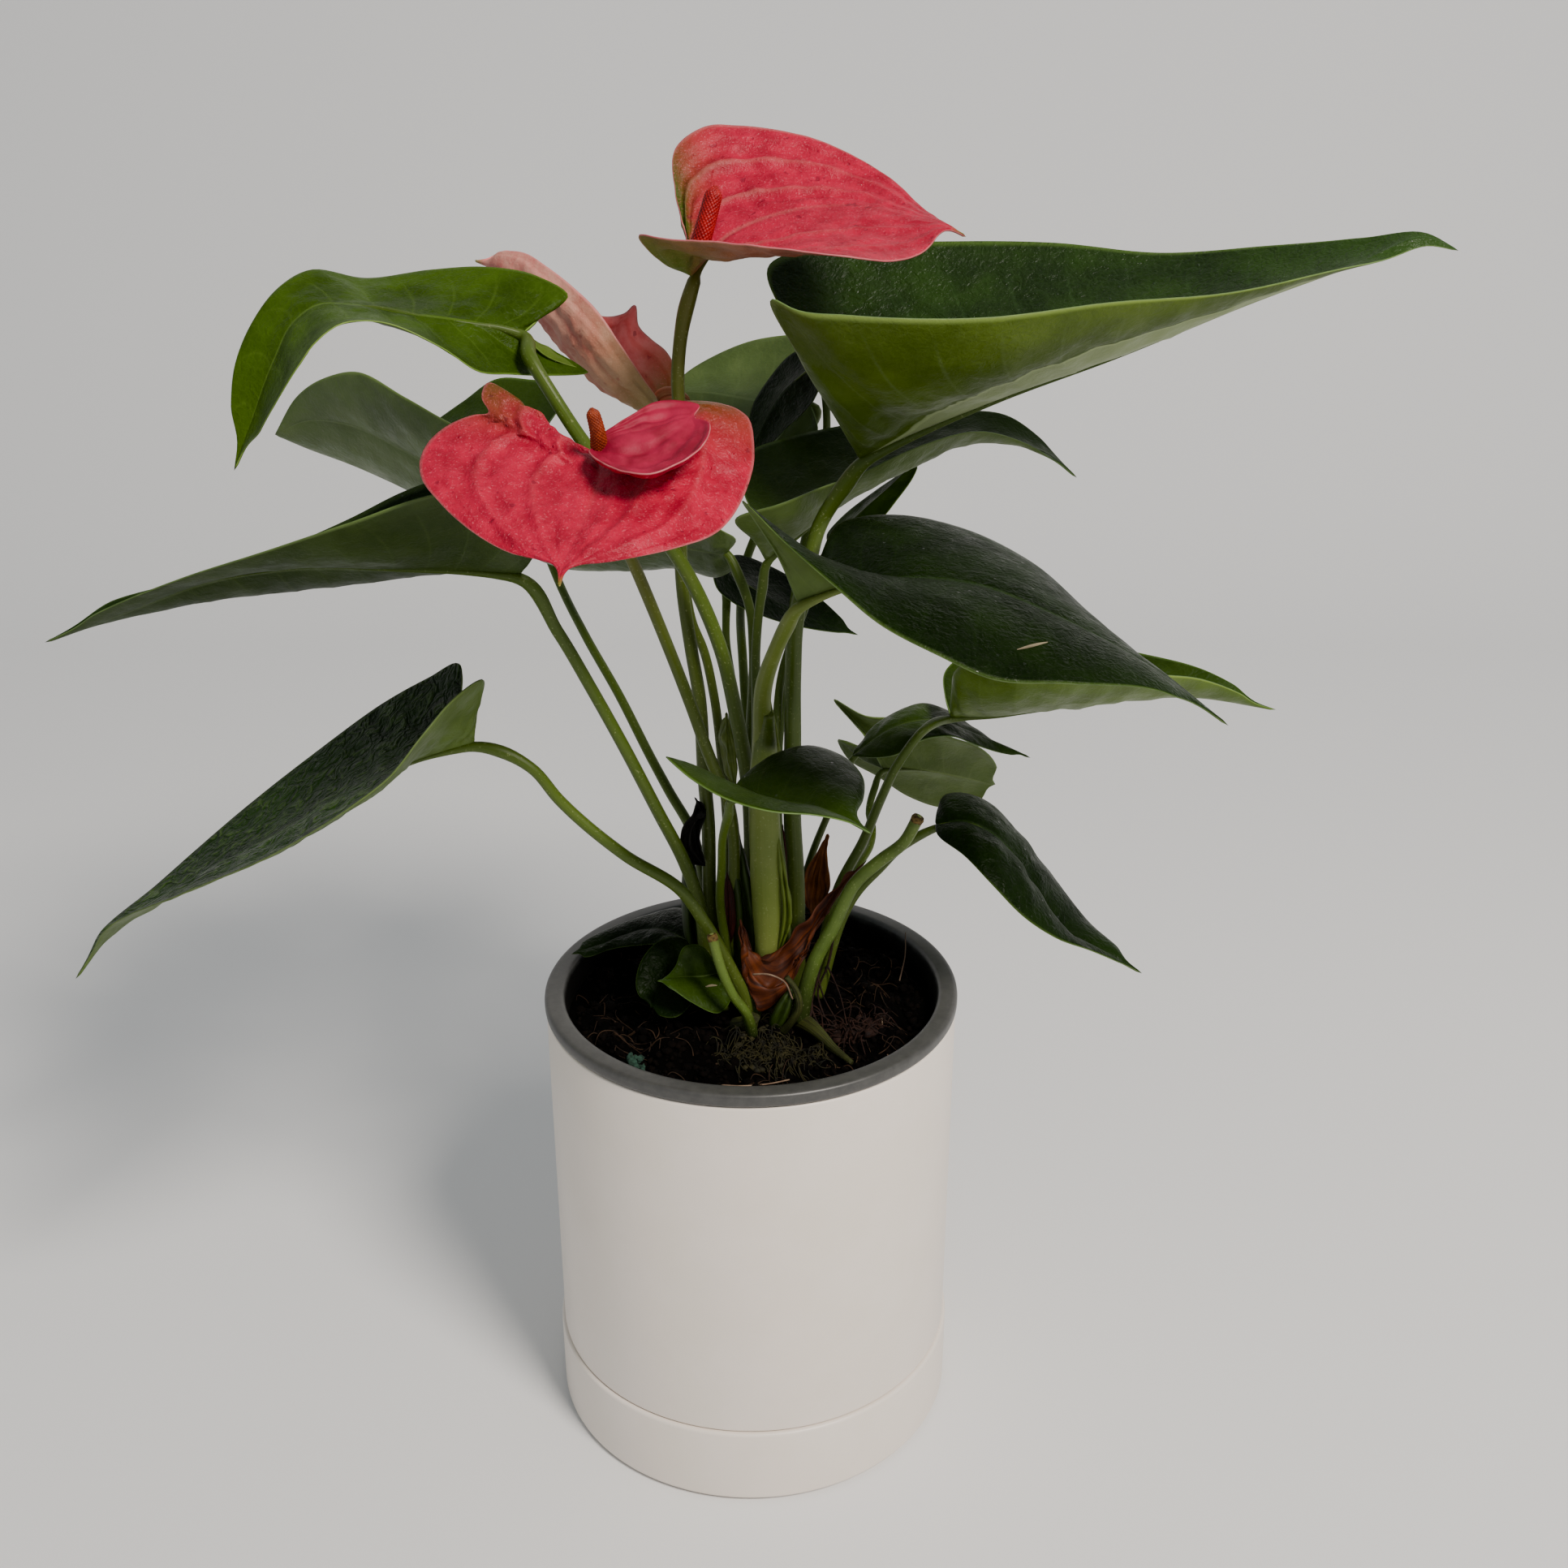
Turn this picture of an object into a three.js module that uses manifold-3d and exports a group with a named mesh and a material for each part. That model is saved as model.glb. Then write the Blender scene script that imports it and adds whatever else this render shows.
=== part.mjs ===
// A potted flamingo flower: twenty arrow-shaped leaves and three pink flowers on long stalks, growing from
// one crown in a grey nursery pot, which hangs by its rim in a white cover pot on a white saucer.
// Millimetres, +Z up. The origin is on the pots' axis, on the surface that the saucer stands on.
import * as THREE from "three";
import { mergeVertices } from "three/addons/utils/BufferGeometryUtils.js";
import Module from "manifold-3d";

const wasm = await Module();
wasm.setup();

// Driving dimensions
const GAP = 0.3; // between pieces that touch
const BLADE_THICKNESS = 1.0;
const BLADE_ROWS = 11; // from the stalk to the tip
const BLADE_STEPS = 2; // from the rib to each margin
const STALK_START = 1.6; // from the blade to the end of its stalk
const SPADIX_START = 3; // from the end of the flower's stalk to its spadix
const VEIN_SWEEP = 1.6; // how strongly the side veins crowd towards the stalk
const STALK_SIDES = 6;
const STALK_STEP = 16; // length of one stretch of a stalk
const ROUND = 40; // sides of the round pots

const POT_RADIUS = 65; // white cover pot, outside
const POT_WALL = 4;
const POT_TOP = 146.8;
const SAUCER_RADIUS = 66;
const SAUCER_WALL = 2.6;
const SAUCER_TOP = 27.3;
const SAUCER_FLOOR = 3;
const RIB_TOP = 9; // ring in the saucer that the cover pot stands on
const SPIGOT_RADIUS = SAUCER_RADIUS - SAUCER_WALL - GAP;
const RIM_RADIUS = 65.5; // rolled rim of the nursery pot
const RIM_INSIDE = 59.3;
const RIM_TOP = 151.1;
const NURSERY_FLOOR = 14;
const NURSERY_BASE_RADIUS = 46;
const NURSERY_WALL = 1.6;
const DRAIN_RADIUS = 4;
const DRAIN_COUNT = 5;
const DRAIN_CIRCLE = 28;
const SOIL_EDGE = 142; // height of the soil at the rim
const CROWN_TOP = 149.5; // height of the mound that the stalks stand on
const CROWN_RADIUS = 25.5;

const leafGreen = { color: 0x2f5a2c, roughness: 0.42, metalness: 0 };
const youngGreen = { color: 0x55852c, roughness: 0.4, metalness: 0 };
const stalkGreen = { color: 0x6a8a3a, roughness: 0.45, metalness: 0 };
const spathePink = { color: 0xd8405c, roughness: 0.38, metalness: 0 };
const spadixRed = { color: 0xb0402c, roughness: 0.6, metalness: 0 };
const scaleBrown = { color: 0x8a4a20, roughness: 0.7, metalness: 0 };
const potWhite = { color: 0xe8e4de, roughness: 0.45, metalness: 0 };
const rimGrey = { color: 0x55585a, roughness: 0.4, metalness: 0 };
const soilDark = { color: 0x1d1714, roughness: 0.95, metalness: 0 };
const mossGreen = { color: 0x4a4a20, roughness: 0.95, metalness: 0 };

const plant = new THREE.Group();

function add(name, geometry, look) {
  const mesh = new THREE.Mesh(geometry, new THREE.MeshStandardMaterial(look));
  mesh.name = name;
  plant.add(mesh);
}

// A smooth curve through points given as [x, y, z].
function curveThrough(points) {
  return new THREE.CatmullRomCurve3(points.map((p) => new THREE.Vector3(...p)), false, "chordal");
}

// A closed mesh as a solid that can be cut.
function toSolid(geometry) {
  const bare = geometry.index ? geometry.toNonIndexed() : geometry.clone();
  bare.deleteAttribute("normal");
  bare.deleteAttribute("uv");
  const merged = mergeVertices(bare, 1e-3);
  return new wasm.Manifold(
    new wasm.Mesh({
      numProp: 3,
      vertProperties: merged.attributes.position.array,
      triVerts: new Uint32Array(merged.index.array),
    }),
  );
}

// The largest piece of a cut solid, as a mesh.
function fromSolid(solid) {
  const pieces = solid.decompose().sort((a, b) => b.volume() - a.volume());
  const mesh = pieces[0].getMesh();
  const geometry = new THREE.BufferGeometry();
  geometry.setAttribute("position", new THREE.BufferAttribute(mesh.vertProperties, 3));
  geometry.setIndex(new THREE.BufferAttribute(mesh.triVerts, 1));
  return geometry;
}

// Points of a leaf blade. Each row runs from the left margin over the rib to the right margin. A point
// lies between the rib and a margin, lifted off the straight line between them by the cup of its half.
// A blade can be made larger all round its edge by grow.
function bladePoints({ rib, left, right, cup = [0, 0] }, grow) {
  const stalkEnd = rib[0];
  const tip = rib[rib.length - 1];
  const ribCurve = curveThrough(rib);
  const rows = [];
  for (let i = 0; i <= BLADE_ROWS; i++) {
    rows.push([]);
  }
  [left, right].forEach((margin, side) => {
    const marginCurve = curveThrough([stalkEnd, ...margin, tip]);
    rows.forEach((row, i) => {
      const s = i / BLADE_ROWS;
      const along = s ** VEIN_SWEEP;
      const forward = ribCurve.getTangentAt(along);
      const onRib = ribCurve.getPointAt(along);
      const vein = marginCurve.getPointAt(s).sub(onRib);
      const up = forward.clone().cross(vein).normalize();
      if (side === 1) up.negate();
      if (i === 0) onRib.addScaledVector(forward, -grow);
      if (i === BLADE_ROWS) onRib.addScaledVector(forward, grow);
      vein.setLength(vein.length() + grow);
      for (let j = side; j <= BLADE_STEPS; j++) {
        const t = j / BLADE_STEPS;
        const lift = vein.length() * cup[side] * 4 * t * (1 - t);
        const point = onRib.clone().addScaledVector(vein, t).addScaledVector(up, lift);
        if (side === 0) row.unshift(point);
        else row.push(point);
      }
    });
  });
  return rows;
}

// A blade as a thin closed solid: its points moved up and down by half the thickness and joined along
// the margin. All points of the first row are the stalk's end, and all of the last row are the tip.
// Grown by the gap, it cuts other pieces clear of the blade.
function bladeGeometry(shape, grow = 0) {
  const rows = bladePoints(shape, grow);
  const thickness = BLADE_THICKNESS + 2 * grow;
  const last = rows.length - 1;
  const width = rows[0].length;
  const positions = [];
  const numbers = rows.map(() => []);
  const normalAt = (i, j) => {
    const a = rows[Math.min(i + 1, last)][j].clone().sub(rows[Math.max(i - 1, 0)][j]);
    const b = rows[i][Math.min(j + 1, width - 1)].clone().sub(rows[i][Math.max(j - 1, 0)]);
    return b.cross(a).normalize();
  };
  rows.forEach((row, i) => {
    const isEnd = i === 0 || i === last;
    const near = i === 0 ? 1 : i === last ? last - 1 : i;
    row.forEach((point, j) => {
      if (isEnd && j > 0) {
        numbers[i].push(numbers[i][0]);
        return;
      }
      const middle = (width - 1) / 2;
      const normal = isEnd ? normalAt(near, middle) : normalAt(near, j);
      numbers[i].push(positions.length / 3);
      for (const way of [-0.5, 0.5]) {
        positions.push(...point.clone().addScaledVector(normal, way * thickness).toArray());
      }
    });
  });
  const faces = [];
  const quad = (a, b, c, d) => {
    if (a !== b && b !== c && a !== c) faces.push(a, b, c);
    if (a !== c && c !== d && a !== d) faces.push(a, c, d);
  };
  for (let i = 0; i < last; i++) {
    const here = numbers[i];
    const next = numbers[i + 1];
    for (let j = 0; j < width - 1; j++) {
      quad(here[j] + 1, here[j + 1] + 1, next[j + 1] + 1, next[j] + 1);
      quad(here[j], next[j], next[j + 1], here[j + 1]);
    }
    const end = width - 1;
    quad(here[0], here[0] + 1, next[0] + 1, next[0]);
    quad(here[end] + 1, here[end], next[end], next[end] + 1);
  }
  const geometry = new THREE.BufferGeometry();
  geometry.setAttribute("position", new THREE.Float32BufferAttribute(positions, 3));
  geometry.setIndex(faces);
  return geometry;
}

// A stalk: a many-sided rod along a path, thinned or thickened evenly from one end to the other.
function stalkGeometry(points, startRadius, endRadius) {
  const path = curveThrough(points);
  const steps = Math.max(3, Math.round(path.getLength() / STALK_STEP));
  const section = new THREE.Shape();
  for (let i = 0; i < STALK_SIDES; i++) {
    const turn = (i / STALK_SIDES) * Math.PI * 2;
    const corner = [Math.cos(turn), Math.sin(turn)];
    if (i === 0) section.moveTo(...corner);
    else section.lineTo(...corner);
  }
  section.closePath();
  const options = { steps, extrudePath: path, bevelEnabled: false };
  const geometry = new THREE.ExtrudeGeometry(section, options);
  const centres = path.getSpacedPoints(steps);
  const position = geometry.attributes.position;
  const point = new THREE.Vector3();
  for (let i = 0; i < position.count; i++) {
    point.fromBufferAttribute(position, i);
    const distances = centres.map((centre) => centre.distanceTo(point));
    const ring = distances.indexOf(Math.min(...distances));
    const radius = startRadius + ((endRadius - startRadius) * ring) / steps;
    point.sub(centres[ring]).multiplyScalar(radius).add(centres[ring]);
    position.setXYZ(i, point.x, point.y, point.z);
  }
  return geometry;
}

// Moves the first point of a path a little way along the path, away from the blade.
function startLater(points, distance) {
  const first = new THREE.Vector3(...points[0]);
  const second = new THREE.Vector3(...points[1]);
  const moved = first.clone().add(second.sub(first).setLength(distance));
  return [moved.toArray(), ...points.slice(1)];
}

function lathe(profile, sides = ROUND) {
  return new THREE.LatheGeometry(profile.map(([r, z]) => new THREE.Vector2(r, z)), sides).rotateX(Math.PI / 2);
}

// The blades. Rib and margins run from the end of the stalk to the tip, and left and right are as seen
// from above, looking at the tip. A cup above zero domes that half of the blade upwards.
const leaves = {
  leaf_1: {
    rib: [[31, -14, 322], [44, -14, 328], [68, -14, 338], [105, -12, 351], [137, -8, 363], [165, -2, 372],
      [192, 2, 377]],
    left: [[23, 4, 337], [12, 24, 352], [6, 38, 367], [23, 44, 372], [54, 44, 373], [89, 40, 373],
      [118, 32, 371], [145, 20, 374], [167, 10, 377], [183, 4, 380]],
    right: [[24, -26, 335], [14, -46, 354], [9, -56, 368], [25, -62, 366], [56, -60, 365], [90, -48, 367],
      [124, -30, 367], [161, -10, 371]],
    cup: [-0.1, -0.12],
    stalk: [[31, -14, 322], [27, -13, 314], [20, -12, 302], [17, -12, 290], [14, -10, 276], [13, -7, 257],
      [13, -3, 234], [13, 1, 209], [14, 2, 187], [14, 3, 147]],
    radii: [2.0, 3.1],
  },
  leaf_2: {
    rib: [[-60, -6, 354], [-77, -10, 358], [-91, -12, 360], [-104, -12, 362], [-113, -12, 362],
      [-119, -14, 358], [-124, -18, 349], [-131, -22, 333], [-136, -26, 321]],
    left: [[-55, -4, 348], [-44, 4, 342], [-54, -8, 343], [-62, -18, 345], [-69, -26, 347],
      [-77, -32, 354], [-92, -36, 361], [-100, -40, 361], [-106, -44, 357], [-111, -44, 351],
      [-119, -40, 341], [-128, -32, 330]],
    right: [[-56, 2, 357], [-49, 8, 362], [-58, 11, 367], [-72, 14, 369], [-88, 16, 368], [-106, 14, 366],
      [-119, 6, 369], [-126, -2, 365], [-132, -8, 357], [-136, -14, 347], [-137, -20, 334]],
    cup: [-0.05, -0.05],
    stalk: [[-60, -6, 354], [-57, -16, 349], [-51, -20, 340], [-43, -20, 327], [-32, -16, 312],
      [-19, -10, 292], [-8, -5, 264], [-4, -1, 243], [-1, 2, 223], [-1, 4, 147]],
    radii: [1.7, 2.3],
  },
  leaf_3: {
    rib: [[-8, 26, 284], [-31, 34, 286], [-60, 48, 289], [-93, 66, 297], [-115, 78, 306], [-133, 86, 312],
      [-148, 92, 312], [-161, 98, 306]],
    left: [[-5, 30, 279], [-9, 34, 275], [-22, 46, 274], [-44, 62, 269], [-64, 76, 266], [-93, 90, 276],
      [-121, 100, 288], [-139, 104, 295], [-152, 104, 300]],
    right: [[-4, 24, 289], [-8, 20, 293], [-20, 23, 299], [-40, 28, 307], [-65, 40, 314], [-89, 52, 317],
      [-108, 61, 325], [-125, 72, 331], [-137, 80, 328], [-150, 90, 320]],
    cup: [0.08, 0.08],
    stalk: [[-8, 26, 284], [-3, 24, 277], [0, 22, 268], [1, 20, 256], [0, 19, 230], [-1, 16, 147]],
    radii: [1.7, 2.1],
  },
  leaf_4: {
    rib: [[-75, 84, 305], [-91, 92, 306], [-113, 104, 304], [-129, 112, 297]],
    left: [[-63, 80, 298], [-66, 80, 290], [-89, 86, 288], [-110, 98, 291]],
    right: [[-68, 94, 311], [-65, 100, 315], [-68, 108, 321], [-77, 112, 322], [-87, 114, 322],
      [-100, 114, 314], [-114, 112, 305]],
    cup: [-0.1, -0.1],
    stalk: [[-75, 84, 305], [-74, 88, 290], [-72, 90, 273], [-67, 86, 260], [-56, 66, 246],
      [-43, 46, 231], [-32, 31, 215], [-26, 23, 207], [-19, 16, 197], [-15, 10, 180], [-17, 9, 147]],
    radii: [1.7, 2.2],
  },
  leaf_5: {
    rib: [[-61, -30, 294], [-77, -30, 295], [-98, -32, 296], [-118, -34, 297], [-142, -36, 294],
      [-165, -38, 286], [-189, -38, 277]],
    left: [[-54, -42, 305], [-55, -52, 317], [-64, -54, 323], [-77, -58, 322], [-97, -62, 316],
      [-119, -58, 308], [-146, -50, 298], [-171, -43, 287]],
    right: [[-62, -8, 301], [-66, 14, 310], [-81, 24, 310], [-102, 24, 304], [-118, 18, 297],
      [-137, 4, 291], [-159, -14, 287], [-177, -28, 284]],
    cup: [-0.05, -0.22],
    stalk: [[-61, -30, 294], [-52, -26, 276], [-44, -22, 258], [-36, -18, 239], [-27, -13, 216],
      [-20, -9, 198], [-16, -7, 184], [-14, -5, 147]],
    radii: [2.1, 2.7],
  },
  leaf_6: {
    rib: [[-77, -30, 245], [-94, -34, 241], [-110, -38, 234], [-129, -44, 224], [-155, -52, 212],
      [-175, -58, 200], [-186, -62, 187]],
    left: [[-74, -38, 256], [-70, -48, 270], [-76, -58, 268], [-83, -66, 261], [-91, -72, 252],
      [-101, -76, 245], [-121, -78, 233], [-149, -74, 219], [-174, -66, 204]],
    right: [[-82, -18, 251], [-84, -6, 260], [-95, 2, 253], [-111, 6, 243], [-129, 6, 230],
      [-154, -2, 212], [-175, -22, 197], [-186, -48, 191]],
    cup: [-0.05, -0.08],
    stalk: [[-77, -30, 245], [-69, -30, 242], [-59, -30, 235], [-54, -30, 227], [-36, -29, 213],
      [-20, -25, 196], [-13, -22, 183], [-8, -19, 171], [1, -15, 147]],
    radii: [1.9, 2.7],
  },
  leaf_7: {
    rib: [[14, -44, 290], [26, -46, 295], [41, -50, 298], [59, -55, 298], [79, -62, 292],
      [103, -72, 281], [121, -80, 269]],
    left: [[16, -36, 294], [21, -24, 298], [25, -14, 303], [32, -8, 304], [43, -6, 304], [61, -10, 301],
      [78, -22, 295], [92, -42, 286], [105, -62, 278], [115, -76, 273]],
    right: [[9, -48, 303], [0, -56, 320], [10, -68, 313], [23, -82, 305], [33, -88, 298],
      [47, -94, 292], [59, -96, 287], [78, -94, 285], [101, -88, 281], [113, -82, 274]],
    cup: [0.06, 0.05],
    stalk: [[14, -44, 290], [11, -40, 282], [8, -36, 274], [5, -30, 263], [4, -19, 241], [3, -10, 215],
      [4, -5, 185], [4, -3, 147]],
    radii: [1.8, 4.4],
  },
  leaf_8: {
    rib: [[62, 18, 235], [74, 18, 235], [95, 20, 237], [116, 22, 239], [138, 24, 239], [165, 26, 234]],
    left: [[61, 28, 238], [62, 40, 242], [80, 52, 248], [106, 52, 248], [125, 46, 246], [143, 36, 244]],
    right: [[61, 8, 247], [61, -2, 257], [71, -14, 267], [95, -14, 265], [115, -2, 256], [137, 12, 249]],
    cup: [-0.12, -0.12],
    stalk: [[62, 18, 235], [56, 11, 235], [52, 6, 234], [45, 3, 225], [40, 5, 212], [35, 7, 197],
      [29, 6, 185], [20, 5, 147]],
    radii: [1.6, 2.2],
  },
  leaf_9: {
    rib: [[5, 6, 288], [16, 12, 295], [29, 20, 303], [45, 24, 310], [60, 30, 316], [75, 36, 316],
      [91, 42, 311], [101, 46, 303]],
    left: [[2, 20, 296], [-2, 34, 303], [0, 46, 311], [11, 52, 314], [28, 56, 317], [47, 56, 320],
      [64, 54, 322], [79, 52, 321], [90, 50, 314]],
    right: [[2, -4, 296], [-3, -14, 305], [9, -18, 310], [21, -6, 312], [32, -2, 315], [41, 0, 319],
      [53, 8, 322], [68, 22, 322], [83, 34, 316]],
    cup: [-0.08, -0.1],
    stalk: [[5, 6, 288], [4, 7, 279], [2, 8, 260], [2, 8, 242], [2, 9, 220], [1, 10, 147]],
    radii: [1.6, 2.1],
  },
  leaf_10: {
    rib: [[24, 34, 285], [34, 38, 294], [44, 42, 302], [53, 46, 310]],
    left: [[24, 44, 286], [29, 50, 290], [39, 50, 298], [48, 48, 305]],
    right: [[30, 30, 288], [40, 34, 293], [45, 38, 298], [50, 42, 304]],
    cup: [-0.1, -0.1],
    stalk: [[24, 34, 285], [20, 20, 278], [16, 8, 271], [10, 0, 256], [8, -4, 237], [8, -4, 212],
      [10, -5, 191], [12, -4, 147]],
    radii: [1.4, 2.0],
  },
  leaf_11: {
    rib: [[19, 76, 320], [1, 84, 320], [-15, 92, 321], [-29, 98, 320]],
    left: [[21, 70, 312], [14, 68, 306], [-2, 72, 305], [-18, 84, 310]],
    right: [[23, 82, 329], [22, 90, 337], [3, 102, 337], [-13, 104, 331], [-22, 102, 326]],
    cup: [-0.06, -0.06],
    stalk: [[19, 76, 320], [13, 84, 302], [3, 84, 280], [-3, 80, 265], [-4, 66, 255], [-3, 46, 245],
      [-1, 32, 225], [4, 24, 200], [6, 18, 147]],
    radii: [1.8, 2.0],
  },
  leaf_12: {
    rib: [[-4, -44, 234], [9, -50, 235], [22, -58, 236], [34, -64, 232]],
    left: [[-2, -38, 236], [3, -28, 237], [10, -22, 239], [17, -20, 240], [26, -24, 239],
      [32, -34, 237], [32, -48, 235], [30, -56, 234]],
    right: [[-11, -48, 239], [-21, -56, 251], [-14, -64, 248], [-5, -70, 245], [7, -74, 243],
      [19, -72, 241], [28, -68, 237]],
    cup: [0.12, 0.05],
    stalk: [[-4, -44, 234], [-5, -41, 228], [-7, -34, 218], [-8, -24, 203], [-9, -14, 187],
      [-4, -7, 147]],
    radii: [1.4, 1.8],
  },
  leaf_13: {
    rib: [[32, 22, 220], [45, 26, 228], [58, 30, 229], [71, 34, 223], [91, 40, 212]],
    left: [[35, 28, 222], [40, 34, 226], [47, 38, 229], [55, 40, 231], [63, 42, 228], [73, 42, 221],
      [81, 41, 215]],
    right: [[37, 18, 221], [45, 15, 223], [53, 17, 227], [62, 21, 227], [72, 28, 221], [82, 36, 215]],
    cup: [0.05, 0.05],
    stalk: [[32, 22, 220], [29, 23, 210], [24, 23, 198], [18, 21, 181], [15, 14, 147]],
    radii: [1.3, 1.7],
  },
  leaf_14: {
    rib: [[44, 60, 200], [56, 62, 199], [70, 66, 195], [84, 70, 190]],
    left: [[37, 66, 201], [29, 72, 206], [33, 76, 197], [43, 78, 190], [55, 80, 181], [66, 80, 177],
      [78, 76, 180]],
    right: [[37, 56, 214], [27, 52, 228], [37, 50, 223], [49, 50, 222], [64, 50, 216], [76, 54, 210],
      [83, 62, 200]],
    cup: [0.08, 0.08],
    stalk: [[44, 60, 200], [41, 56, 194], [39, 50, 188], [40, 43, 186], [39, 35, 183], [35, 26, 180],
      [20, 12, 147]],
    radii: [1.3, 1.7],
  },
  leaf_15: {
    rib: [[57, 0, 206], [65, -2, 208], [72, -4, 206], [80, -6, 199], [86, -8, 188], [93, -10, 175],
      [107, -12, 169], [121, -14, 162]],
    left: [[58, 8, 207], [61, 16, 209], [67, 20, 208], [75, 22, 204], [84, 20, 194], [97, 12, 181],
      [107, 2, 171], [115, -8, 167]],
    right: [[57, -8, 206], [64, -18, 204], [72, -26, 198], [81, -28, 189], [91, -26, 181],
      [104, -20, 173], [113, -16, 167]],
    cup: [0.1, 0.1],
    stalk: [[57, 0, 206], [53, 0, 203], [46, 0, 198], [40, 0, 191], [35, -1, 186], [21, -3, 147]],
    radii: [1.5, 2.0],
  },
  leaf_16: {
    rib: [[-21, 13, 159], [-29, 19, 160], [-37, 24, 157], [-48, 21, 154], [-59, 15, 153]],
    left: [[-24, 9, 160], [-28, 11, 159], [-35, 14, 157], [-47, 16, 154], [-54, 13, 153]],
    right: [[-20, 21, 160], [-24, 32, 161], [-37, 34, 157], [-49, 28, 155], [-56, 21, 154]],
    cup: [0.08, 0.08],
    stalk: [[-21, 13, 159], [-20, 12, 157], [-20, 12, 147]],
    radii: [1.2, 1.4],
  },
  leaf_17: {
    rib: [[-10, -12, 161], [-15, -14, 161], [-21, -18, 163], [-28, -24, 165]],
    left: [[-7, -15, 159], [-6, -19, 156], [-9, -24, 154], [-18, -26, 159], [-23, -26, 163]],
    right: [[-12, -11, 166], [-16, -12, 171], [-20, -13, 171], [-23, -17, 166], [-26, -22, 165]],
    cup: [0.1, 0.1],
    stalk: [[-10, -12, 161], [-9, -12, 155], [-8, -11, 147]],
    radii: [1.1, 1.3],
  },
  leaf_18: {
    rib: [[19, 54, 336], [9, 60, 325], [4, 62, 316], [0, 64, 307]],
    left: [[22, 48, 334], [19, 46, 326], [11, 50, 317], [5, 58, 310]],
    right: [[20, 64, 340], [13, 70, 337], [6, 74, 329], [0, 74, 319], [-1, 70, 312]],
    cup: [-0.1, -0.1],
    stalk: [[19, 54, 336], [23, 64, 327], [24, 66, 314], [21, 66, 295], [15, 50, 273], [12, 36, 251],
      [9, 27, 227], [11, 20, 147]],
    radii: [1.5, 1.9],
  },
  leaf_19: {
    rib: [[-19, -3, 160], [-24, -6, 157], [-28, -10, 155], [-31, -16, 151]],
    left: [[-18, -9, 156], [-19, -17, 152], [-23, -20, 150], [-28, -19, 150]],
    right: [[-18, -2, 164], [-22, 2, 166], [-28, -1, 167], [-35, -8, 161], [-35, -14, 155]],
    cup: [0.05, 0.05],
    stalk: [[-19, -3, 160], [-20, -2, 156], [-20, -2, 147]],
    radii: [1.1, 1.3],
  },
  leaf_20: {
    rib: [[-7, 52, 271], [5, 55, 262], [19, 60, 253], [35, 62, 247]],
    left: [[-9, 62, 272], [-5, 70, 272], [7, 72, 267], [22, 68, 258]],
    right: [[-12, 46, 274], [-11, 43, 269], [-5, 44, 263], [4, 47, 258], [19, 56, 251]],
    cup: [-0.08, -0.08],
    stalk: [[-7, 52, 271], [-8, 50, 262], [-8, 42, 252], [-6, 32, 240], [-6, 25, 227], [-7, 20, 202],
      [-8, 18, 147]],
    radii: [1.5, 1.9],
  },
};
const youngLeaves = ["leaf_2", "leaf_10", "leaf_13", "leaf_17"];

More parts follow.
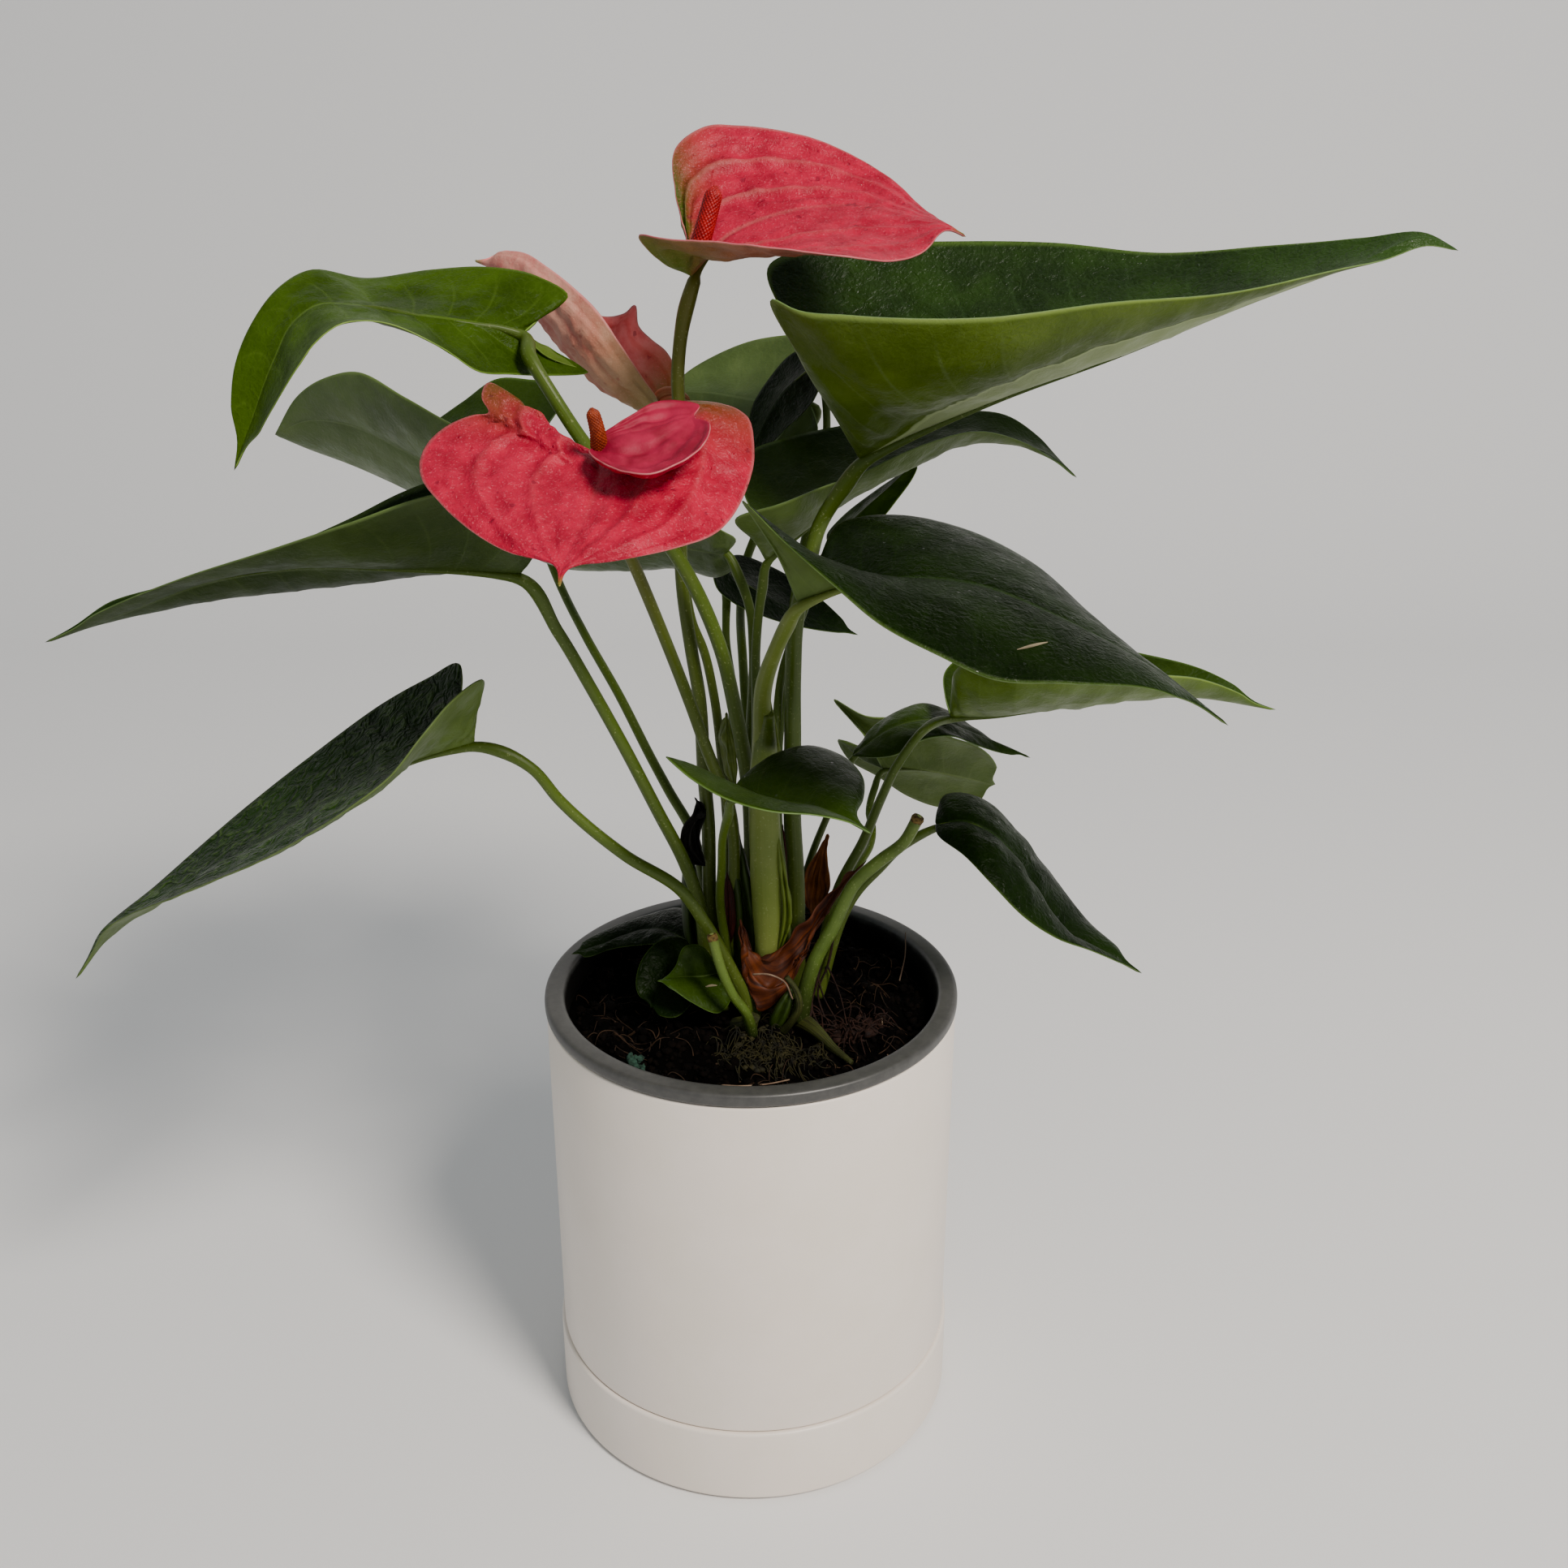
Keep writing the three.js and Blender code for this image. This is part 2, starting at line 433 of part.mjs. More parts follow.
// The flowers: a pink spathe shaped as a blade, its spadix, and the stalk under it.
const flowers = {
  1: {
    rib: [[-14, -14, 370], [-4, -4, 379], [9, 0, 384], [26, 2, 386], [43, -8, 384], [57, -20, 380]],
    left: [[-16, 0, 379], [-19, 10, 389], [-19, 20, 400], [-11, 26, 406], [-1, 28, 406], [18, 26, 402],
      [38, 16, 393], [49, -2, 385]],
    right: [[-21, -22, 374], [-26, -30, 381], [-18, -38, 381], [-7, -44, 381], [7, -48, 380],
      [23, -46, 378], [38, -38, 376], [48, -26, 379]],
    cup: [-0.1, -0.06],
    spadix: [[-14, -14, 371], [-11, -15, 379], [-7, -14, 390]],
    spadixRadii: [2.7, 2.3],
    stalk: [[-14, -14, 370], [-16, -13, 359], [-18, -11, 346], [-18, -7, 326], [-19, -3, 302],
      [-19, 0, 282], [-17, 2, 262], [-15, 3, 247], [-14, 4, 221], [-13, 4, 205], [-13, 4, 181],
      [-12, 5, 147]],
    radii: [1.8, 2.3],
  },
  2: {
    rib: [[-29, 40, 325], [-40, 36, 332], [-50, 34, 340], [-58, 32, 349], [-66, 34, 360],
      [-74, 38, 366], [-80, 42, 368]],
    left: [[-27, 30, 330], [-30, 22, 337], [-36, 16, 348], [-42, 16, 357], [-49, 20, 363],
      [-57, 26, 368], [-64, 32, 371], [-71, 36, 371]],
    right: [[-23, 50, 328], [-23, 56, 337], [-28, 56, 341], [-33, 54, 344], [-39, 52, 350],
      [-51, 48, 356], [-58, 46, 364], [-65, 44, 370], [-74, 43, 371]],
    cup: [-0.25, -0.25],
    spadix: [[-29, 41, 326], [-37, 44, 336], [-43, 44, 343]],
    spadixRadii: [2.2, 1.8],
    stalk: [[-29, 40, 325], [-27, 28, 321], [-26, 16, 316], [-24, 8, 306], [-22, 8, 295],
      [-19, 11, 279], [-17, 14, 266], [-14, 16, 257], [-11, 15, 242], [-9, 13, 224], [-6, 11, 147]],
    radii: [1.6, 1.9],
  },
  3: {
    rib: [[-34, -64, 333], [-34, -72, 329], [-36, -86, 323], [-39, -100, 317], [-40, -108, 313]],
    left: [[-25, -56, 340], [-12, -46, 343], [1, -50, 340], [3, -58, 332], [1, -68, 325],
      [-5, -82, 319], [-13, -92, 318], [-22, -98, 318], [-31, -102, 317]],
    right: [[-43, -58, 336], [-53, -50, 342], [-64, -44, 346], [-67, -56, 341], [-74, -62, 338],
      [-77, -70, 332], [-73, -78, 326], [-63, -90, 320], [-49, -101, 318]],
    cup: [0.1, 0.1],
    spadix: [[-34, -67, 334], [-34, -71, 341], [-35, -72, 346]],
    spadixRadii: [2.5, 1.8],
    stalk: [[-34, -64, 333], [-33, -60, 324], [-32, -53, 313], [-29, -46, 302], [-21, -32, 273],
      [-16, -24, 254], [-11, -16, 234], [-7, -11, 221], [-8, -1, 147]],
    radii: [1.9, 2.4],
  },
};

// Two stalks whose leaves were cut off.
const stubs = {
  stub_right: {
    stalk: [[50, -17, 216], [46, -17, 208], [39, -17, 202], [32, -17, 195], [25, -18, 180],
      [20, -18, 169], [15, -18, 147]],
    radii: [2.3, 3.0],
  },
  stub_front: {
    stalk: [[-11, -27, 182], [-9, -26, 173], [-5, -25, 163], [-1, -24, 156], [-1, -22, 147]],
    radii: [1.9, 2.2],
  },
};

// Thin papery scales at the foot of the crown and the sheaths of two young shoots.
const scales = {
  sheath_1: {
    rib: [[-5, 4, 217], [-7, 4, 229], [-7, 5, 241]],
    left: [[-7, 7, 219], [-9, 8, 227], [-9, 7, 236]],
    right: [[-4, 4, 221], [-4, 4, 229], [-6, 5, 237]],
  },
  sheath_2: {
    rib: [[8, -9, 218], [7, -11, 236], [6, -18, 257]],
    left: [[6, -8, 223], [6, -10, 237], [5, -15, 249]],
    right: [[10, -8, 223], [9, -10, 237], [7, -15, 250]],
  },
  papery_scale_front: {
    rib: [[-2, -11, 179], [0, -12, 167], [6, -12, 157], [14, -12, 165], [23, -8, 179], [30, -5, 190],
      [36, -3, 196]],
    left: [[0, -10, 175], [3, -10, 164], [8, -10, 162], [12, -10, 170], [20, -7, 178], [28, -4, 188]],
    right: [[-2, -12, 171], [1, -14, 162], [6, -14, 153], [13, -13, 158], [17, -11, 167],
      [26, -8, 180]],
  },
  papery_scale_back: {
    rib: [[20, 14, 168], [21, 14, 181], [23, 13, 196]],
    left: [[18, 14, 173], [18, 14, 182], [21, 14, 191]],
    right: [[22, 12, 174], [24, 11, 184], [23, 12, 191]],
  },
};

// The pots and the soil, as profiles [radius, height] turned about the axis.
const wallSlope = (RIM_INSIDE - NURSERY_BASE_RADIUS + NURSERY_WALL) / (RIM_TOP - NURSERY_FLOOR);
const nurseryInside = (z) => NURSERY_BASE_RADIUS - NURSERY_WALL + (z - NURSERY_FLOOR) * wallSlope;
const spigotFoot = RIB_TOP + GAP;
const potFloor = spigotFoot + POT_WALL;
const soilFloor = NURSERY_FLOOR + NURSERY_WALL + GAP;

const saucerProfile = [
  [0, 0],
  [SAUCER_RADIUS - 5, 0],
  [SAUCER_RADIUS - 1.5, 1.5],
  [SAUCER_RADIUS, 5],
  [SAUCER_RADIUS, SAUCER_TOP - 1.2],
  [SAUCER_RADIUS - 0.8, SAUCER_TOP],
  [SAUCER_RADIUS - SAUCER_WALL, SAUCER_TOP],
  [SAUCER_RADIUS - SAUCER_WALL, SAUCER_FLOOR + 2],
  [SAUCER_RADIUS - SAUCER_WALL - 2, SAUCER_FLOOR],
  [52, SAUCER_FLOOR],
  [52, RIB_TOP],
  [48, RIB_TOP],
  [48, SAUCER_FLOOR],
  [0, SAUCER_FLOOR],
];
const potProfile = [
  [0, spigotFoot],
  [SPIGOT_RADIUS - 2, spigotFoot],
  [SPIGOT_RADIUS, spigotFoot + 2],
  [SPIGOT_RADIUS, SAUCER_TOP + GAP],
  [POT_RADIUS - 0.8, SAUCER_TOP + GAP],
  [POT_RADIUS, SAUCER_TOP + GAP + 1],
  [POT_RADIUS, POT_TOP - GAP - 0.6],
  [POT_RADIUS - 0.6, POT_TOP - GAP],
  [POT_RADIUS - POT_WALL, POT_TOP - GAP],
  [POT_RADIUS - POT_WALL, potFloor + 4],
  [POT_RADIUS - POT_WALL - 4, potFloor],
  [0, potFloor],
];
const nurseryProfile = [
  [0, NURSERY_FLOOR],
  [NURSERY_BASE_RADIUS, NURSERY_FLOOR],
  [nurseryInside(POT_TOP) + NURSERY_WALL, POT_TOP],
  [RIM_RADIUS - 0.3, POT_TOP],
  [RIM_RADIUS, POT_TOP + 0.6],
  [RIM_RADIUS, RIM_TOP - 1.2],
  [RIM_RADIUS - 1.2, RIM_TOP],
  [RIM_INSIDE, RIM_TOP],
  [nurseryInside(NURSERY_FLOOR + NURSERY_WALL), NURSERY_FLOOR + NURSERY_WALL],
  [0, NURSERY_FLOOR + NURSERY_WALL],
];
const soilSurface = [
  [nurseryInside(SOIL_EDGE) - GAP, SOIL_EDGE],
  [CROWN_RADIUS + 7, SOIL_EDGE + 1.5],
  [CROWN_RADIUS, CROWN_TOP - 0.3],
  [0, CROWN_TOP],
];
const soilProfile = [[0, soilFloor], [nurseryInside(soilFloor) - GAP, soilFloor], ...soilSurface];

// A floor pierced by a ring of drain holes.
function withDrainHoles(profile, floorHeight) {
  let solid = toSolid(lathe(profile));
  for (let i = 0; i < DRAIN_COUNT; i++) {
    const turn = (i / DRAIN_COUNT) * Math.PI * 2;
    const hole = new THREE.CylinderGeometry(DRAIN_RADIUS, DRAIN_RADIUS, 3 * POT_WALL, 16);
    hole.rotateX(Math.PI / 2);
    hole.translate(DRAIN_CIRCLE * Math.cos(turn), DRAIN_CIRCLE * Math.sin(turn), floorHeight);
    solid = solid.subtract(toSolid(hole));
  }
  return fromSolid(solid);
}

add("saucer", lathe(saucerProfile), potWhite);
add("cover_pot", withDrainHoles(potProfile, spigotFoot + POT_WALL / 2), potWhite);
add("nursery_pot", withDrainHoles(nurseryProfile, NURSERY_FLOOR + NURSERY_WALL / 2), rimGrey);
add("soil", lathe(soilProfile), soilDark);

// Everything that stands on the soil is trimmed to it, and stays clear of it by the gap.
const raisedSoil = toSolid(lathe(soilProfile).translate(0, 0, GAP));

const mossPad = new THREE.SphereGeometry(1, 16, 10).rotateX(Math.PI / 2);
mossPad.scale(13, 7, 5).translate(4, -33, 144);
add("moss", fromSolid(toSolid(mossPad).subtract(raisedSoil)), mossGreen);

function clearOfBlade(solid, shape) {
  return fromSolid(solid.subtract(toSolid(bladeGeometry(shape, GAP))));
}

// The stalk of a blade, or one that was cut short.
function stalkOnSoil(part) {
  const points = part.rib ? startLater(part.stalk, STALK_START) : part.stalk;
  const solid = toSolid(stalkGeometry(points, ...part.radii)).subtract(raisedSoil);
  return part.rib ? clearOfBlade(solid, part) : fromSolid(solid);
}

function spadixOn(flower) {
  const points = startLater(flower.spadix, SPADIX_START);
  return clearOfBlade(toSolid(stalkGeometry(points, ...flower.spadixRadii)), flower);
}

for (const [name, leaf] of Object.entries(leaves)) {
  add(name, bladeGeometry(leaf), youngLeaves.includes(name) ? youngGreen : leafGreen);
  add(name.replace("leaf", "petiole"), stalkOnSoil(leaf), stalkGreen);
}
for (const [number, flower] of Object.entries(flowers)) {
  add(`spathe_${number}`, bladeGeometry(flower), spathePink);
  add(`spadix_${number}`, spadixOn(flower), spadixRed);
  add(`peduncle_${number}`, stalkOnSoil(flower), stalkGreen);
}
for (const [name, stub] of Object.entries(stubs)) {
  add(name, stalkOnSoil(stub), stalkGreen);
}
for (const [name, scale] of Object.entries(scales)) {
  add(name, bladeGeometry(scale), name.startsWith("sheath") ? stalkGreen : scaleBrown);
}

export default plant;
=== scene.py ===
# A potted flamingo flower: leaves, flowers and stalks grown from one crown, in a grey nursery pot that
# hangs in a white cover pot on its saucer. Shapes are worked out in millimetres and stored in metres.
import bpy
import numpy as np
from functools import partial
from math import pi, radians
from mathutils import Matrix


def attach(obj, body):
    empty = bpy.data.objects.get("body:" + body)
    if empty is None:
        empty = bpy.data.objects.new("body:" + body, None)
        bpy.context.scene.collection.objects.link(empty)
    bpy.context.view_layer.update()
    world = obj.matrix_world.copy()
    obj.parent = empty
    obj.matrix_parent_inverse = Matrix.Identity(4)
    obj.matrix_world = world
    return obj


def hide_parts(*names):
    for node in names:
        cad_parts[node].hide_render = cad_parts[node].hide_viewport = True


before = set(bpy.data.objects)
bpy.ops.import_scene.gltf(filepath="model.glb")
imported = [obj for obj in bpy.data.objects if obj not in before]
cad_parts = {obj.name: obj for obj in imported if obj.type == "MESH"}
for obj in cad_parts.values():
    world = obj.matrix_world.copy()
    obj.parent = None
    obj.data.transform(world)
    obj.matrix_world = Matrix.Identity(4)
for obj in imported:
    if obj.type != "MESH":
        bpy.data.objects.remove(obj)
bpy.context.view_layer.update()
mm = 0.001


# Shapes: curves, closed skins and the meshes made from them
def unit(v):
    # Each vector over its own length, so that it is one long
    return v / np.maximum(np.linalg.norm(v, axis=-1, keepdims=True), 1e-9)


def smoothStep(x, low, high):
    # 0 below low, 1 above high, and between them three times the square less twice the cube of the share
    f = np.clip((x - low) / (high - low), 0, 1)
    return f * f * (3 - 2 * f)


def bell(x, width):
    # 1 at nought, falling to e to the minus square of x over the width
    return np.exp(-(x / width) ** 2)


def curveThrough(points, where):
    # A cubic from each point to the next, whose slope at a point leans on both neighbours in proportion
    # to how near they are; where is a share 0..1 of the way along the straight lines between the points
    p = np.asarray(points, float)
    gap = np.linalg.norm(np.diff(p, axis=0), axis=1)
    knot = np.concatenate([[0], np.cumsum(gap)])
    before, after = gap[:-1, None], gap[1:, None]
    slope = np.empty_like(p)
    ahead, behind = (p[2:] - p[1:-1]) / after, (p[1:-1] - p[:-2]) / before
    slope[1:-1] = (ahead * before + behind * after) / (before + after)
    slope[0] = (p[1] - p[0]) / gap[0]
    slope[-1] = (p[-1] - p[-2]) / gap[-1]
    x = np.asarray(where) * knot[-1]
    i = np.clip(np.searchsorted(knot, x, side="right") - 1, 0, len(gap) - 1)
    h = gap[i, None]
    f = (x - knot[i])[:, None] / h
    return ((2 * f**3 - 3 * f**2 + 1) * p[i] + (f**3 - 2 * f**2 + f) * h * slope[i]
            + (3 * f**2 - 2 * f**3) * p[i + 1] + (f**3 - f**2) * h * slope[i + 1])


def closedSkin(rings, uv, zone=0):
    # A closed surface: each ring of points joins the next, and the first and last ring shrink to a point.
    # zone says which of the piece's materials a column of faces has.
    n, m = rings.shape[:2]
    points = np.vstack([rings[:1].mean(1), rings[1:-1].reshape(-1, 3), rings[-1:].mean(1)])
    column = np.arange(m)
    turn = (column + 1) % m
    row = 1 + np.arange(n - 3)[:, None] * m
    quads = np.stack([row + column, row + turn, row + m + turn, row + m + column], -1).reshape(-1, 4)
    far = 1 + (n - 3) * m
    start = np.stack([0 * column, 1 + turn, 1 + column], -1)
    end = np.stack([0 * column + len(points) - 1, far + column, far + turn], -1)
    k = np.arange(1, n - 2)[:, None]
    quadUv = np.stack([uv[k, column], uv[k, column + 1], uv[k + 1, column + 1], uv[k + 1, column]], 2)
    startUv = np.stack([uv[0, column], uv[1, column + 1], uv[1, column]], 1)
    endUv = np.stack([uv[-1, column], uv[-2, column], uv[-2, column + 1]], 1)
    tris = np.vstack([start, end])
    triUv = np.concatenate([startUv, endUv])
    a, b, c, d = (points[quads[:, i]] for i in range(4))
    e, f, g = (points[tris[:, i]] for i in range(3))
    volume = (a * np.cross(b, c)).sum() + (a * np.cross(c, d)).sum() + (e * np.cross(f, g)).sum()
    quadUv = quadUv.reshape(-1, 4, 2)
    if volume < 0:
        quads, quadUv, tris, triUv = quads[:, ::-1], quadUv[:, ::-1], tris[:, ::-1], triUv[:, ::-1]
    zones = np.zeros(m, int) + zone
    return {"points": points, "quads": quads, "tris": tris, "quadUv": quadUv, "triUv": triUv,
            "zones": np.concatenate([np.tile(zones, n - 3), zones, zones])}


def makePiece(name, skins, materials, slot, *nodes):
    # Joins skins into one mesh with its UV map and materials, lets it ride, and hides the nodes it stands for
    mesh = bpy.data.meshes.new(name)
    points, faces, corners, zones, count = [], [], [], [], 0
    for skin in skins:
        points.append(skin["points"])
        faces += (skin["quads"] + count).tolist() + (skin["tris"] + count).tolist()
        corners += [skin["quadUv"].reshape(-1, 2), skin["triUv"].reshape(-1, 2)]
        zones.append(skin["zones"])
        count += len(skin["points"])
    mesh.from_pydata(np.vstack(points) * mm, [], faces)
    mesh.uv_layers.new(name="UVMap").uv.foreach_set("vector", np.vstack(corners).ravel())
    for material in materials:
        mesh.materials.append(material)
    mesh.polygons.foreach_set("material_index", np.concatenate(zones))
    mesh.polygons.foreach_set("use_smooth", np.ones(len(faces), bool))
    mesh.update()
    piece = bpy.data.objects.new(name, mesh)
    bpy.context.scene.collection.objects.link(piece)
    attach(piece, "root")
    if nodes:
        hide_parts(*nodes)
    return piece


def tubeSkin(path, radius, sides=14, across=(0.13, 1.0, 0.07), zone=0, wobble=0.0, flatten=1.0):
    # A round rod: a circle square to the path at each of its points, closed at both ends
    path = np.asarray(path, float)
    radius = np.broadcast_to(np.asarray(radius, float), len(path))
    forward = unit(np.gradient(path, axis=0))
    first = unit(np.cross(forward, np.asarray(across, float)))
    second = np.cross(forward, first)
    turn = np.arange(sides) / sides * 2 * pi
    size = radius[:, None] * (1 + wobble * np.sin(3 * turn[None] + np.linspace(0, 9, len(path))[:, None]))
    rings = (path[:, None] + size[..., None] * (np.cos(turn)[None, :, None] * first[:, None]
             + flatten * np.sin(turn)[None, :, None] * second[:, None]))
    cap = [(path[:1, None] + (rings[:1] - path[:1, None]) * share) for share in (0, 0.6, 0.93)]
    back = [(path[-1:, None] + (rings[-1:] - path[-1:, None]) * share) for share in (0.93, 0.6, 0)]
    rings = np.concatenate([cap[0], cap[1], cap[2], rings, back[0], back[1], back[2]])
    length = np.concatenate([[0], np.cumsum(np.linalg.norm(np.diff(path, axis=0), axis=1))])
    length = np.concatenate([length[:1]] * 3 + [length] + [length[-1:]] * 3) / max(length[-1], 1e-6)
    u, v = np.meshgrid(np.arange(sides + 1) / sides, length)
    return closedSkin(rings, np.stack([u, v], -1), zone)


def turnedSkin(profile, sides=192, zone=0):
    # A profile [radius, height] turned about the pots' axis; it starts and ends on the axis
    profile = np.asarray(profile, float)
    turn = np.arange(sides) / sides * 2 * pi
    r, z = profile[:, :1], profile[:, 1:]
    rings = np.stack([r * np.cos(turn), r * np.sin(turn), z + 0 * turn], -1)
    u, v = np.meshgrid(np.arange(sides + 1) / sides, np.linspace(0, 1, len(profile)))
    return closedSkin(rings, np.stack([u, v], -1), zone)


def rounded(profile, radius, steps=5):
    # Cuts each corner of a profile by a smooth bend that starts radius away from it
    points = np.asarray(profile, float)
    out = [points[:1]]
    for before, corner, after in zip(points[:-2], points[1:-1], points[2:]):
        back, ahead = before - corner, after - corner
        reach = min(radius, 0.45 * np.linalg.norm(back), 0.45 * np.linalg.norm(ahead))
        start, end = corner + unit(back) * reach, corner + unit(ahead) * reach
        f = np.linspace(0, 1, steps)[:, None]
        out.append((1 - f) ** 2 * start + 2 * f * (1 - f) * corner + f**2 * end)
    return np.vstack(out + [points[-1:]])


# Blades: a rib and two margins through a few points, with the surface stretched between them
veinBow = 0.10      # how far a side vein curves towards the tip


def bladeSheet(part, rows, steps):
    # Row s leaves the rib at s to the power 1.6 and meets each margin at s, and a row is a straight line
    # lifted by the cup of its half, which can fade along the blade; the last tenth narrows to a drip tip.
    # Gives points, upward directions, shares along and across, and sizes.
    s = np.linspace(0, 1, rows + 1)
    rib = curveThrough(part["rib"], s**1.6)
    forward = unit(np.gradient(rib, axis=0))
    t = np.linspace(0, 1, steps + 1)[None, :, None]
    halves = []
    for side, margin, cup in ((1, "left", part["cup"][0]), (-1, "right", part["cup"][1])):
        edge = curveThrough([part["rib"][0]] + part[margin] + [part["rib"][-1]], s)
        edge = rib + (edge - rib) * (1 - part.get("drip", 0.5) * smoothStep(s, 0.89, 0.97))[:, None]
        vein = edge - rib
        up = unit(np.cross(forward, vein)) * side
        lift = np.linalg.norm(vein, axis=1) * cup * (1 - s) ** part.get("cupFade", 0)
        lift = lift[:, None, None] * 4 * t * (1 - t)
        halves.append(rib[:, None] * (1 - t) + edge[:, None] * t + up[:, None] * lift)
    sheet = np.concatenate([halves[0][:, ::-1], halves[1][:, 1:]], 1)
    along = np.gradient(sheet, axis=0)
    sideways = np.gradient(sheet, axis=1)
    up = unit(np.cross(sideways, along))
    up[:2], up[-2:] = up[2], up[-3]
    for _ in range(3):  # softens the fold at the rib
        up[1:-1, 1:-1] = unit(up[1:-1, :-2] + 2 * up[1:-1, 1:-1] + up[1:-1, 2:])
    across = np.linspace(-1, 1, 2 * steps + 1)[None] + 0 * s[:, None]
    reach = np.concatenate([np.linalg.norm(h[:, -1] - rib, axis=1)[:, None] for h in halves], 1)
    reach = np.where(across < 0, reach[:, :1], reach[:, 1:])
    return {"points": sheet, "up": up, "s": s[:, None] + 0 * across, "t": across, "reach": reach,
            "stretch": np.linalg.norm(along, axis=-1) * rows}


def bladeSkin(sheet, thick, raiseMiddle, raiseUpper, raiseLower):
    # The upper and lower face stand half the thickness off the sheet, moved outwards by their relief
    half = thick / 2 * (1 - 0.55 * np.abs(sheet["t"]) ** 8)
    middle = sheet["points"] + sheet["up"] * raiseMiddle[..., None]
    upper = middle + sheet["up"] * (half + raiseUpper)[..., None]
    lower = middle - sheet["up"] * (half + raiseLower)[..., None]
    rings = np.concatenate([upper, lower[:, ::-1]], 1)
    u = (sheet["t"] + 1) / 2
    u = np.concatenate([u, u[:, ::-1], u[:, :1]], 1)
    v = np.broadcast_to(sheet["s"][:, :1], u.shape)
    columns = sheet["t"].shape[1]
    zone = np.repeat([0, 2, 1, 2], [columns - 1, 1, columns - 1, 1])
    return closedSkin(rings, np.stack([u, v], -1), zone)


def crumple(points, size, height, seed, count=16):
    # Sixteen crossing waves about size millimetres long, each with its own direction, length and start
    draw = np.random.default_rng(seed)
    waves = unit(draw.normal(size=(count, 3))) * 2 * pi / size * draw.uniform(0.6, 1.6, (count, 1))
    return height * np.sqrt(2 / count) * np.cos(points @ waves.T + draw.uniform(0, 2 * pi, count)).sum(-1)


def leafRelief(sheet, veins, quilt, seed):
    # Between two side veins the blade swells a little and crumples; veins are grooves above, ridges below
    s, t, reach = sheet["s"], np.abs(sheet["t"]), sheet["reach"]
    phase = (s + veinBow * t * (1 - t)) * veins
    away = np.abs(phase - np.round(phase)) * sheet["stretch"] / veins
    inside = smoothStep(t, 0.02, 0.2) * (1 - t**4) * smoothStep(s, 0.0, 0.08) * (1 - s**6)
    middle = quilt * (0.5 - 0.5 * np.cos(2 * pi * phase)) * inside
    waves = crumple(sheet["points"], 12, 0.5 * quilt, seed)
    waves += crumple(sheet["points"], 4.5, 0.2 * quilt, seed + 1)
    middle += waves * smoothStep(s, 0, 0.05) * (1 - s**4) * smoothStep(t * reach, 0, 4) * (1 - 0.95 * t**4)
    groove = bell(away, 0.9) * inside
    rib = bell(t * reach, 1.1) * smoothStep(s, 0, 0.05) * (1 - s)
    return middle, -0.1 * groove - 0.35 * rib, 0.12 * groove + 0.2 * rib


def spatheRelief(sheet, veins, seed):
    # The main veins of a spathe run from the stalk to the tip and stand up from its crumpled face
    s, t, reach = sheet["s"], np.abs(sheet["t"]), sheet["reach"]
    phase = t * veins
    away = np.abs(phase - np.round(phase)) / veins * reach
    strong = (t > 0.5 / veins) * (t < 1 - 0.4 / veins) * smoothStep(s, 0.02, 0.2) * (1 - s**3)
    ridge = bell(away, 1.3) * strong
    dent = bell(away - 3.4, 2.4) * strong
    waves = crumple(sheet["points"], 10, 0.16, seed) + crumple(sheet["points"], 4, 0.09, seed + 1)
    waves *= 1.4 * smoothStep(s, 0, 0.12) * (1 - s**4) * smoothStep(t * reach, 0, 3) * (1 - 0.8 * t**6)
    rib = bell(t * reach, 1.6) * smoothStep(s, 0, 0.1) * (1 - s)
    return waves - 0.8 * dent, 0.6 * ridge - 0.3 * rib, -0.1 * ridge + 0.3 * rib


# Materials: patterns follow places in metres, so the scale of one is 1000 over its size in millimetres
smooth = {"interpolation_type": "SMOOTHSTEP"}
soft = {"Detail": 3.0, "Roughness": 0.55}


def linear(hexColour):
    # sRGB hex to linear red, green, blue and alpha
    c = np.array([int(hexColour[i:i + 2], 16) for i in (1, 3, 5)]) / 255
    return (*np.where(c <= 0.04045, c / 12.92, ((c + 0.055) / 1.055) ** 2.4), 1)


def addNode(tree, kind, links=None, out=0, **settings):
    # Adds a node, sets its own settings, fills its inputs with values or other outputs, gives one output
    node = tree.nodes.new("ShaderNode" + kind)
    for key, value in settings.items():
        setattr(node, key, value)
    for key, value in (links or {}).items():
        if isinstance(value, bpy.types.NodeSocket):
            tree.links.new(value, node.inputs[key])
        else:
            node.inputs[key].default_value = value
    return node.outputs[out]


def newMaterial(name, **even):
    # A material whose even settings stand on the shader's own sockets, an underscore in a name being a space;
    # gives it with a way to add nodes and the place that its patterns follow
    material = bpy.data.materials.new(name)
    material.use_nodes = True
    shader = material.node_tree.nodes["Principled BSDF"]
    for key, value in even.items():
        shader.inputs[key.replace("_", " ")].default_value = value
    add = partial(addNode, material.node_tree)
    return material, add, add("TexCoord", out=3)


def finishMaterial(material, links):
    # Joins outputs of nodes to the shader's inputs, and sets an even colour on its own socket
    tree = material.node_tree
    for key, value in links.items():
        socket = tree.nodes["Principled BSDF"].inputs[key]
        if isinstance(value, bpy.types.NodeSocket):
            tree.links.new(value, socket)
        else:
            socket.default_value = value
    return material


def layColours(add, colour, *layers):
    # Lays colours over the first one in turn. A layer is an output with the values where its share begins and
    # is full, its fullest share and its colour, or else a share and its colour.
    colour = linear(colour)
    for share, *rest in layers:
        if len(rest) > 1:
            share = add("MapRange", {0: share, 1: rest[0], 2: rest[1], 4: rest[2]}, **smooth)
        colour = add("Mix", {0: share, 6: colour, 7: linear(rest[-1])}, 2, data_type="RGBA")
    return colour


